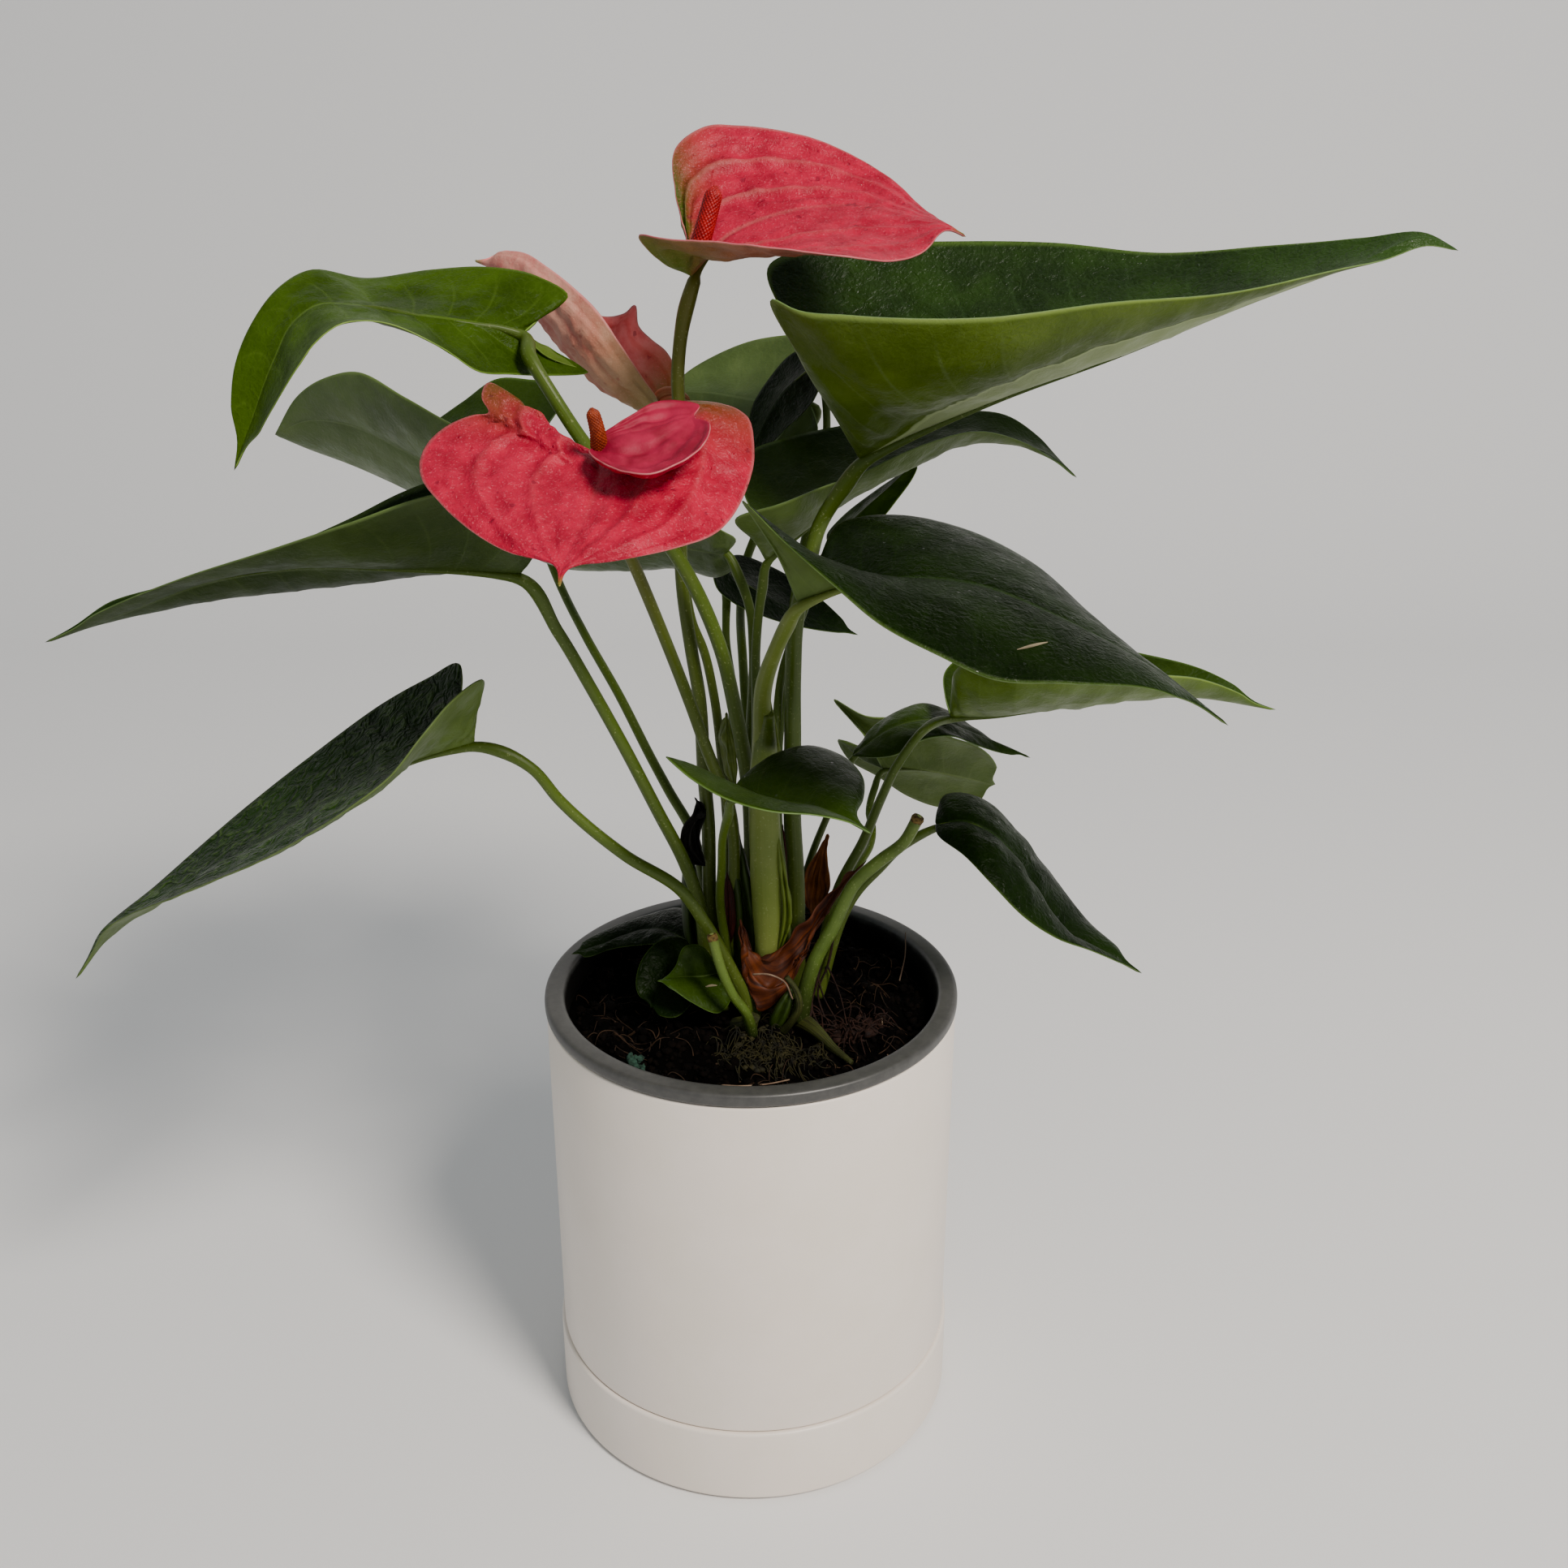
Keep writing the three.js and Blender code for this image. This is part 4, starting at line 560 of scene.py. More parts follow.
leaves = {
    "leaf_1": {
        "look": ("shadedLeaf", "broadUnder"),
        "fold": 2.2,
        "rib": [[31, -14, 322], [44, -14, 328], [68, -14, 338], [105, -12, 351], [137, -8, 363],
            [165, -2, 372], [182, 1, 378], [192, 2, 374.5]],
        "left": [[23, 4, 337], [12, 24, 352], [6, 38, 367], [23, 44, 372], [54, 44, 373], [89, 40, 373],
            [118, 32, 371], [145, 20, 374], [167, 10, 377], [183, 4, 380]],
        "right": [[24, -26, 335], [14, -46, 354], [8, -57, 369], [13, -60, 367], [25, -62, 366],
            [56, -60, 365], [90, -48, 367], [124, -30, 367], [161, -10, 371]],
        "cup": [-0.1, -0.12],
        "slim": 1.0,
        "stalk": [[31, -14, 322], [27, -13, 314], [20, -12, 302], [17, -12, 290], [14, -10, 276],
            [13, -7, 257], [13, -3, 234], [13, 1, 209], [14, 2, 187], [14, 3, 147]],
        "radii": [2.0, 3.1],
    },
    "leaf_2": {
        "look": ("brightLeaf", "brightUnder"),
        "quilt": 0.6,
        "rib": [[-60, -6, 354], [-77, -10, 358], [-91, -12, 360], [-104, -12, 362], [-113, -12, 362],
            [-119, -14, 358], [-124, -18, 349], [-131, -22, 333], [-136, -26, 321]],
        "left": [[-55, -4, 348], [-44, 4, 342], [-54, -8, 343], [-62, -18, 345], [-69, -26, 347],
            [-77, -32, 354], [-92, -36, 361], [-100, -40, 361], [-106, -44, 357], [-111, -44, 351],
            [-119, -40, 341], [-128, -32, 330]],
        "right": [[-56, 2, 357], [-49, 8, 362], [-58, 11, 367], [-72, 14, 369], [-88, 16, 368],
            [-106, 14, 366], [-119, 6, 369], [-126, -2, 365], [-132, -8, 357], [-136, -14, 347],
            [-137, -20, 334]],
        "cup": [-0.05, -0.05],
        "stalk": [[-60, -6, 354], [-57, -16, 349], [-51, -20, 340], [-43, -20, 327], [-32, -16, 312],
            [-19, -10, 292], [-8, -5, 264], [-4, -1, 243], [-1, 2, 223], [-1, 4, 147]],
        "radii": [1.7, 2.3],
        "slim": 1.05,
    },
    "leaf_3": {
        "look": ("paintedSheenLeaf", "midUnder"),
        "drip": 0.0,
        "rib": [[-8, 26, 284], [-31, 34, 286], [-60, 48, 289], [-93, 66, 297], [-115, 78, 306],
            [-133, 86, 312], [-148, 92, 312], [-161, 98, 306]],
        "left": [[-5, 30, 279], [-9, 34, 275], [-22, 46, 274], [-44, 62, 269], [-64, 76, 266],
            [-93, 90, 276], [-121, 100, 288], [-139, 104, 295], [-152, 104, 300]],
        "right": [[-4, 24, 289], [-8, 20, 293], [-20, 23, 299], [-40, 28, 307], [-65, 40, 314],
            [-89, 52, 317], [-108, 61, 325], [-125, 72, 331], [-137, 80, 328], [-150, 90, 320]],
        "cup": [0.08, 0.08],
        "stalk": [[-8, 26, 284], [-3, 24, 277], [0, 22, 268], [1, 20, 256], [0, 19, 230], [-1, 16, 147]],
        "radii": [1.7, 2.1],
    },
    "leaf_4": {
        "look": ("midLeaf", "paintedShadeUnder"),
        "rib": [[-75, 84, 305], [-91, 92, 306], [-113, 104, 304], [-129, 112, 297]],
        "left": [[-63, 80, 298], [-66, 80, 290], [-89, 86, 288], [-110, 98, 291]],
        "right": [[-68, 94, 311], [-65, 100, 315], [-68, 108, 321], [-77, 112, 322], [-87, 114, 322],
            [-100, 114, 314], [-114, 112, 305]],
        "cup": [-0.1, -0.1],
        "stalk": [[-75, 84, 305], [-74, 88, 290], [-72, 90, 273], [-67, 86, 260], [-56, 66, 246],
            [-43, 46, 231], [-32, 31, 215], [-26, 23, 207], [-19, 16, 197], [-15, 10, 180], [-17, 9, 147]],
        "radii": [1.7, 2.2],
    },
    "leaf_5": {
        "look": ("paintedShadeLeaf", "paintedShadeUnder"),
        "quilt": 0.12,
        "rib": [[-61, -30, 294], [-77, -30, 295], [-98, -32, 296], [-118, -34, 297], [-142, -36, 294],
            [-165, -38, 286], [-189, -38, 277]],
        "left": [[-54, -42, 305], [-55, -52, 317], [-64, -54, 323], [-77, -58, 322], [-97, -62, 316],
            [-119, -58, 308], [-146, -50, 298], [-171, -43, 287]],
        "right": [[-62, -8, 301], [-66, 14, 310], [-81, 24, 310], [-102, 24, 304], [-118, 18, 297],
            [-137, 4, 291], [-159, -14, 287], [-177, -28, 284]],
        "cup": [-0.05, -0.22],
        "stalk": [[-61, -30, 294], [-52, -26, 276], [-44, -22, 258], [-36, -18, 239], [-27, -13, 216],
            [-20, -9, 198], [-16, -7, 184], [-14, -5, 147]],
        "radii": [2.1, 2.7],
    },
    "leaf_6": {
        "look": ("hammeredLeaf", "midUnder"),
        "quilt": 0.45,
        "rib": [[-77, -30, 245], [-94, -34, 241], [-110, -38, 234], [-129, -44, 224], [-155, -52, 212],
            [-175, -58, 200], [-186, -62, 187]],
        "left": [[-74, -38, 256], [-70, -48, 270], [-76, -58, 268], [-83, -66, 261], [-91, -72, 252],
            [-101, -76, 245], [-121, -78, 233], [-149, -74, 219], [-174, -66, 204]],
        "right": [[-82, -18, 251], [-84, -6, 260], [-95, 2, 253], [-111, 6, 243], [-129, 6, 230],
            [-154, -2, 212], [-175, -22, 197], [-186, -48, 191]],
        "cup": [-0.05, -0.08],
        "stalk": [[-77, -30, 245], [-69, -30, 242], [-61, -30, 237], [-54, -29, 227], [-36, -28, 209],
            [-20, -25, 196], [-13, -22, 183], [-8, -19, 171], [1, -15, 147]],
        "radii": [1.9, 2.7],
    },
    "leaf_7": {
        "look": ("paintedShadeLeaf", "midUnder"),
        "quilt": 0.1,
        "scar": [[0.658, 0.70], [0.675, 0.625], [0.70, 0.525]],
        "rib": [[14, -44, 290], [26, -46, 295], [41, -50, 298], [59, -55, 298], [79, -62, 292],
            [103, -72, 281], [121, -80, 269]],
        "left": [[16, -36, 294], [21, -24, 298], [25, -14, 303], [32, -8, 304], [43, -6, 304],
            [61, -10, 301], [78, -22, 295], [92, -42, 286], [105, -62, 278], [115, -76, 273]],
        "right": [[9, -48, 303], [0, -56, 320], [10, -68, 313], [23, -82, 305], [33, -88, 298],
            [47, -94, 292], [59, -96, 287], [78, -94, 285], [101, -88, 281], [113, -82, 274]],
        "cup": [0.06, 0.05],
        "stalk": [[14, -44, 290], [11, -40, 282], [8, -36, 274], [5, -30, 263], [4, -19, 241],
            [3, -10, 215], [4, -5, 185], [4, -3, 147]],
        "radii": [1.8, 4.4],
        "slim": 0.95,
        "stalkLook": "innerStalk",
    },
    "leaf_8": {
        "look": ("midLeaf", "brightUnder"),
        "rib": [[62, 18, 235], [74, 18, 235], [95, 20, 237], [116, 22, 239], [138, 24, 239],
            [165, 26, 234]],
        "left": [[61, 28, 238], [62, 40, 242], [80, 52, 248], [106, 52, 248], [125, 46, 246],
            [143, 36, 244]],
        "right": [[61, 8, 247], [61, -2, 257], [71, -14, 267], [95, -14, 265], [115, -2, 256],
            [137, 12, 249]],
        "cup": [-0.12, -0.12],
        "stalk": [[62, 18, 235], [56, 11, 235], [52, 6, 234], [45, 3, 225], [40, 5, 212], [35, 7, 197],
            [29, 6, 185], [20, 5, 147]],
        "radii": [1.6, 2.2],
    },
    "leaf_9": {
        "look": ("midLeaf", "midUnder"),
        "rib": [[5, 6, 288], [16, 12, 295], [29, 20, 303], [45, 24, 310], [60, 30, 316], [75, 36, 316],
            [91, 42, 311], [101, 46, 303]],
        "left": [[2, 20, 296], [-2, 34, 303], [0, 46, 311], [11, 52, 314], [28, 56, 317], [47, 56, 320],
            [64, 54, 322], [79, 52, 321], [90, 50, 314]],
        "right": [[2, -4, 296], [-3, -14, 305], [9, -18, 310], [21, -6, 312], [32, -2, 315], [41, 0, 319],
            [53, 8, 322], [68, 22, 322], [83, 34, 316]],
        "cup": [-0.08, -0.1],
        "stalk": [[5, 6, 288], [4, 7, 279], [2, 8, 260], [2, 8, 242], [2, 9, 220], [1, 10, 147]],
        "radii": [1.6, 2.1],
    },
    "leaf_10": {
        "look": ("brightLeaf", "midUnder"),
        "rib": [[24, 34, 285], [34, 38, 294], [44, 42, 302], [53, 46, 310]],
        "left": [[24, 44, 286], [29, 50, 290], [39, 50, 298], [48, 48, 305]],
        "right": [[30, 30, 288], [40, 34, 293], [45, 38, 298], [50, 42, 304]],
        "cup": [-0.1, -0.1],
        "stalk": [[24, 34, 285], [20, 20, 278], [16, 8, 271], [10, 0, 256], [8, -4, 237], [8, -4, 212],
            [10, -5, 191], [12, -4, 147]],
        "radii": [1.4, 2.0],
    },
    "leaf_11": {
        "look": ("paintedSheenLeaf", "paintedShadeUnder"),
        "rib": [[19, 76, 320], [1, 84, 320], [-15, 92, 321], [-29, 98, 320]],
        "left": [[21, 70, 312], [14, 68, 306], [-2, 72, 305], [-18, 84, 310]],
        "right": [[23, 82, 329], [22, 90, 337], [3, 102, 337], [-13, 104, 331], [-22, 102, 326]],
        "cup": [-0.06, -0.06],
        "stalk": [[19, 76, 320], [13, 84, 302], [3, 84, 280], [-3, 80, 265], [-4, 66, 255], [-3, 46, 245],
            [-1, 32, 225], [4, 24, 200], [6, 18, 147]],
        "radii": [1.8, 2.0],
    },
    "leaf_12": {
        "look": ("midLeaf", "midUnder"),
        "rib": [[-4, -44, 234], [9, -50, 235], [22, -58, 236], [34, -64, 232]],
        "left": [[-2, -38, 236], [3, -28, 237], [10, -22, 239], [17, -20, 240], [26, -24, 239],
            [32, -34, 237], [32, -48, 235], [30, -56, 234]],
        "right": [[-11, -48, 239], [-21, -56, 251], [-14, -64, 248], [-5, -70, 245], [7, -74, 243],
            [19, -72, 241], [28, -68, 237]],
        "cup": [0.12, 0.05],
        "stalk": [[-4, -44, 234], [-5, -41, 228], [-7, -34, 218], [-8, -24, 203], [-9, -14, 187],
            [-4, -7, 147]],
        "radii": [1.4, 1.8],
    },
    "leaf_13": {
        "look": ("midLeaf", "midUnder"),
        "rib": [[32, 22, 220], [45, 26, 228], [58, 30, 229], [71, 34, 223], [91, 40, 212]],
        "left": [[35, 28, 222], [40, 34, 226], [47, 38, 229], [55, 40, 231], [63, 42, 228], [73, 42, 221],
            [81, 41, 215]],
        "right": [[37, 18, 221], [45, 15, 223], [53, 17, 227], [62, 21, 227], [72, 28, 221], [82, 36, 215]],
        "cup": [0.05, 0.05],
        "stalk": [[32, 22, 220], [29, 23, 210], [24, 23, 198], [18, 21, 181], [15, 14, 147]],
        "radii": [1.3, 1.7],
    },
    "leaf_14": {
        "look": ("paintedSheenLeaf", "midUnder"),
        "rib": [[44, 60, 200], [56, 62, 199], [70, 66, 195], [84, 70, 190]],
        "left": [[37, 66, 201], [29, 72, 206], [33, 76, 197], [43, 78, 190], [55, 80, 181], [66, 80, 177],
            [78, 76, 180]],
        "right": [[37, 56, 214], [27, 52, 228], [37, 50, 223], [49, 50, 222], [64, 50, 216], [76, 54, 210],
            [83, 62, 200]],
        "cup": [0.08, 0.08],
        "stalk": [[44, 60, 200], [41, 56, 194], [39, 50, 188], [40, 43, 186], [39, 35, 183], [35, 26, 180],
            [20, 12, 147]],
        "radii": [1.3, 1.7],
    },
    "leaf_15": {
        "look": ("paintedShadeLeaf", "paintedShadeUnder"),
        "rib": [[57, 0, 206], [65, -2, 208], [72, -4, 206], [80, -6, 199], [86, -8, 188], [93, -10, 175],
            [107, -12, 169], [121, -14, 162]],
        "left": [[58, 8, 207], [61, 16, 209], [67, 20, 208], [75, 22, 204], [84, 20, 194], [97, 12, 181],
            [107, 2, 171], [115, -8, 167]],
        "right": [[57, -8, 206], [64, -18, 204], [72, -26, 198], [81, -28, 189], [91, -26, 181],
            [104, -20, 173], [113, -16, 167]],
        "cup": [0.1, 0.1],
        "stalk": [[57, 0, 206], [53, 0, 203], [46, 0, 198], [40, 0, 191], [35, -1, 186], [21, -3, 147]],
        "radii": [1.5, 2.0],
    },
    "leaf_16": {
        "look": ("paintedShadeLeaf", "paintedShadeUnder"),
        "rib": [[-21, 13, 159], [-29, 19, 160], [-37, 24, 157], [-48, 21, 154], [-59, 15, 153]],
        "left": [[-24, 9, 160], [-28, 11, 159], [-35, 14, 157], [-47, 16, 154], [-54, 13, 153]],
        "right": [[-20, 21, 160], [-24, 32, 161], [-37, 34, 157], [-49, 28, 155], [-56, 21, 154]],
        "cup": [0.08, 0.08],
        "stalk": [[-21, 13, 159], [-20, 12, 157], [-20, 12, 147]],
        "radii": [1.2, 1.4],
    },
    "leaf_17": {
        "look": ("midLeaf", "paintedShadeUnder"),
        "scar": [[0.48, -0.33], [0.4, -0.36], [0.32, -0.42]],
        "rib": [[-10, -12, 161], [-15, -14, 161], [-21, -18, 163], [-28, -24, 165]],
        "left": [[-7, -15, 159], [-6, -19, 156], [-9, -24, 154], [-18, -26, 159], [-23, -26, 163]],
        "right": [[-12, -11, 166], [-16, -12, 171], [-20, -13, 171], [-23, -17, 166], [-26, -22, 165]],
        "cup": [0.1, 0.1],
        "stalk": [[-10, -12, 161], [-9, -12, 155], [-8, -11, 147]],
        "radii": [1.1, 1.3],
    },
    "leaf_18": {
        "look": ("paintedShadeLeaf", "paintedShadeUnder"),
        "rib": [[19, 54, 336], [9, 60, 325], [4, 62, 316], [0, 64, 307]],
        "left": [[22, 48, 334], [19, 46, 326], [11, 50, 317], [5, 58, 310]],
        "right": [[20, 64, 340], [13, 70, 337], [6, 74, 329], [0, 74, 319], [-1, 70, 312]],
        "cup": [-0.1, -0.1],
        "stalk": [[19, 54, 336], [23, 64, 327], [24, 66, 314], [21, 66, 295], [15, 50, 273], [12, 36, 251],
            [9, 27, 227], [11, 20, 147]],
        "radii": [1.5, 1.9],
    },
    "leaf_19": {
        "look": ("paintedShadeLeaf", "paintedShadeUnder"),
        "rib": [[-19, -3, 160], [-24, -6, 157], [-28, -10, 155], [-31, -16, 151]],
        "left": [[-18, -9, 156], [-19, -17, 152], [-23, -20, 150], [-28, -19, 150]],
        "right": [[-18, -2, 164], [-22, 2, 166], [-28, -1, 167], [-35, -8, 161], [-35, -14, 155]],
        "cup": [0.05, 0.05],
        "stalk": [[-19, -3, 160], [-20, -2, 156], [-20, -2, 147]],
        "radii": [1.1, 1.3],
    },
    "leaf_20": {
        "look": ("paintedShadeLeaf", "paintedShadeUnder"),
        "rib": [[-7, 52, 271], [5, 55, 262], [19, 60, 253], [35, 62, 247]],
        "left": [[-9, 62, 272], [-5, 70, 272], [7, 72, 267], [22, 68, 258]],
        "right": [[-12, 46, 274], [-11, 43, 269], [-5, 44, 263], [4, 47, 258], [19, 56, 251]],
        "cup": [-0.08, -0.08],
        "stalk": [[-7, 52, 271], [-8, 50, 262], [-8, 42, 252], [-6, 32, 240], [-6, 25, 227], [-7, 20, 202],
            [-8, 18, 147]],
        "radii": [1.5, 1.9],
    },
}


def soilHeight(x, y):
    # The soil's own height: flat mound under the crown, then a slope, then level to the wall of the pot
    return np.interp(np.hypot(x, y), [0, 25.5, 32.5, 58.5], [149.5, 149.2, 143.5, 142.0])


def keelPath(sheet, topRadius, reach):
    # Under the blade the stalk goes on as the midrib, sunk so far that only its underside shows
    s = sheet["s"][:, 0]
    middle = sheet["t"].shape[1] // 2
    picks = [np.argmin(abs(s**1.6 - share * reach)) for share in (0.0, 0.05, 0.12, 0.24, 0.42, 0.62)]
    radius = topRadius * np.array([0.95, 0.62, 0.46, 0.34, 0.24, 0.12])
    points = sheet["points"][picks, middle] - sheet["up"][picks, middle] * (radius - 0.12)[:, None]
    return points, radius


stalkShape = {"foot": 0.25, "footLength": 8, "knee": 0.2, "kneeBelow": 8, "kneeLength": 6, "sunk": 1.5,
              "thinning": 1.5, "mmPerRow": 2.0, "slim": 0.8}


def growStalk(name, part, material, node, sheet=None, reach=1.0):
    # The stalk thins upwards by a power of the share left to go, a bell swells its foot at the soil, and
    # another bell swells the knee below the blade
    shape = stalkShape
    top, foot = np.array(part["radii"]) * part.get("slim", shape["slim"])
    path = np.array(part["stalk"][::-1], float)
    path[0, 2] = soilHeight(path[0, 0], path[0, 1]) - shape["sunk"]
    length = np.linalg.norm(np.diff(path, axis=0), axis=1).sum()
    radii = top + (foot - top) * (1 - np.linspace(0, 1, len(path))) ** shape["thinning"]
    if sheet is not None:
        keel, keelRadii = keelPath(sheet, top, reach)
        path = np.vstack([path[:-1], keel])
        radii = np.concatenate([radii[:-1], keelRadii])
    gaps = np.linalg.norm(np.diff(path, axis=0), axis=1)
    whole = gaps.sum()
    where = np.linspace(0, 1, int(whole / shape["mmPerRow"]) + 10)
    radius = np.interp(where, np.concatenate([[0], np.cumsum(gaps)]) / whole, radii)
    if sheet is not None:
        knee = (length - shape["kneeBelow"]) / whole
        radius *= 1 + shape["knee"] * bell(where - knee, shape["kneeLength"] / whole)
    radius *= 1 + shape["foot"] * bell(where, shape["footLength"] / whole)
    makePiece(name, [tubeSkin(curveThrough(path, where), radius, wobble=0.03)], [material], "stalk", node)


bladeLook = {"thick": 0.7, "rowsPerMm": 0.8, "stepsPerMm": 0.22, "mmPerVein": 9, "swell": 0.32,
             "foldWidth": 9, "scarLift": 0.35, "scarEnd": 0.15, "scarMiddle": 0.4}


def growLeaf(name, part):
    # A blade, its scars and its stalk: the longer the rib, the more rows, steps and side veins the blade has
    size = np.linalg.norm(np.diff(np.array(part["rib"], float), axis=0), axis=1).sum()
    rows = int(np.clip(size * bladeLook["rowsPerMm"], 48, 132))
    steps = int(np.clip(size * bladeLook["stepsPerMm"], 14, 30))
    veins = int(np.clip(size / bladeLook["mmPerVein"], 6, 15))
    sheet = bladeSheet(part, rows, steps)
    swell = min(part.get("quilt", bladeLook["swell"]), size / 200)
    middle, upper, lower = leafRelief(sheet, veins, swell, len(name) + rows)
    if "fold" in part:  # a long shallow valley in one half, whose place moves outwards along the blade
        place = 0.05 + 0.47 * smoothStep(sheet["s"], 0.2, 0.6)
        valley = np.exp(-abs(sheet["t"] - place) * sheet["reach"] / bladeLook["foldWidth"])
        valley = valley * smoothStep(sheet["t"], 0, 0.1)
        middle = middle + part["fold"] * valley * smoothStep(sheet["s"], 0.1, 0.3) * (1 - sheet["s"] ** 6)
    upperLook, lowerLook = part["look"]
    key = (upperLook, lowerLook, veins)
    if key not in leafMaterials:
        leafMaterials[key] = [leafFace(f"{upperLook}{veins}", leafLooks[upperLook], veins, True),
                              leafFace(f"{lowerLook}{veins}", leafLooks[lowerLook], veins, False),
                              edgeMaterials[upperLook]]
    slot = "young_leaf" if upperLook == "brightLeaf" else "leaf"
    skin = bladeSkin(sheet, bladeLook["thick"], middle, upper, lower)
    makePiece(name + "_blade", [skin], leafMaterials[key], slot, name)
    if "scar" in part:  # its places are shares along and across the blade
        row, column = (np.array(part["scar"]) * [rows, steps] + [0, steps]).round().astype(int).T
        lift = (middle + upper)[row, column] + bladeLook["scarLift"]
        path = sheet["points"][row, column] + sheet["up"][row, column] * lift[:, None]
        where = np.linspace(0, 1, 15)
        radius = bladeLook["scarEnd"] + bladeLook["scarMiddle"] * np.sin(pi * where)
        skin = tubeSkin(curveThrough(path, where), radius, 8, flatten=0.6)
        makePiece(name + "_scar_1", [skin], [scarMaterial], slot)
    stalk = name.replace("leaf", "petiole")
    growStalk(stalk + "_skin", part, stalkMaterials[part.get("stalkLook", "leafStalk")], stalk, sheet)


leafMaterials = {}
scarMaterial = plainLiving("dryScar", "#6e6450", "#8a7e66", 0.7)
for name, part in leaves.items():
    growLeaf(name, part)
print("leaves done")


# Flowers
spatheLooks = {
    "coralUpper": {"dark": "#960428", "light": "#b61238", "vein": "#b07468", "green": "#3c4a08",
        "edge": "#c8686e", "tip": "#6a6a20", "glint": "#e87888", "speck": "#5c0c20", "gloss": 0.42,
        "shine": 0.22, "veinStrength": 0.4, "greenFrom": 0.2, "greenTo": 0.42, "greenIn": 0.25,
        "greenOut": 0.75, "bump": 0.6, "drops": 0.4},
    "coralUnder": {"dark": "#94503c", "light": "#ad664c", "vein": "#8d6a42", "green": "#5a6a1e",
        "edge": "#c08a74", "tip": "#8a8a48", "glint": "#cf9a82", "speck": "#7d3c34", "gloss": 0.5,
        "shine": 0.25, "veinStrength": 0.5, "greenFrom": 0.05, "greenTo": 0.55, "greenIn": -0.3,
        "greenOut": 0.6, "bump": 0.35, "drops": 0.1},
    # The second flower is a paler pink, and its inner face is lightened further: painted light where it lies
    # in shade.
    "paleUpper": {"dark": "#e46a6e", "light": "#f49290", "vein": "#d4756c", "green": "#8a6a24",
        "edge": "#d48a84", "tip": "#8a8a48", "glint": "#ee8a94", "speck": "#8d2034", "gloss": 0.42,
        "shine": 0.25, "veinStrength": 0.2, "greenFrom": 0.1, "greenTo": 0.4, "greenIn": -0.2,
        "greenOut": 0.8, "bump": 0.4, "drops": 0.1},
    "paleUnder": {"dark": "#b86a62", "light": "#cc9484", "vein": "#b84454", "green": "#948450",
        "edge": "#d4888a", "tip": "#8a8a48", "glint": "#d0a890", "speck": "#9a4a44", "gloss": 0.5,
        "shine": 0.25, "veinStrength": 0.6, "greenFrom": 0.02, "greenTo": 0.7, "greenIn": -0.3,
        "greenOut": 0.7, "bump": 0.35, "drops": 0.05},
}
spatheLooks["rubyUpper"] = {**spatheLooks["coralUpper"], "veinStrength": 0.1, "greenTo": 0.5, "greenIn": 0.5,
                            "greenOut": 0.95, "green": "#4c420c"}
spatheLooks["rubyUnder"] = spatheLooks["coralUnder"]
spatheVeins = 3  # on each half, from the stalk to the tip
spatheFaces = {name: spatheFace(name, look, spatheVeins) for name, look in spatheLooks.items()}
spatheEdge = plainLiving("coralSpatheEdge", "#ae545c", "#c06e70", 0.45)
# The inside of the curled flap is a darker copy of the spathe's pink: painted shade in the curl.
paintedShadeFlapInside = plainLiving("paintedShadePinkFlap", "#7e0626", "#9e143a", 0.58, 6.0, 0.9)
spadixMaterials = {1: plainLiving("ripeSpadix", "#7c0610", "#a41014", 0.45, 1.4, 0.6),
                   2: plainLiving("youngSpadix", "#8a3a1c", "#a85a30", 0.45, 1.4, 0.6),
                   3: plainLiving("orangeSpadix", "#6c2008", "#8e3610", 0.45, 1.4, 0.6)}

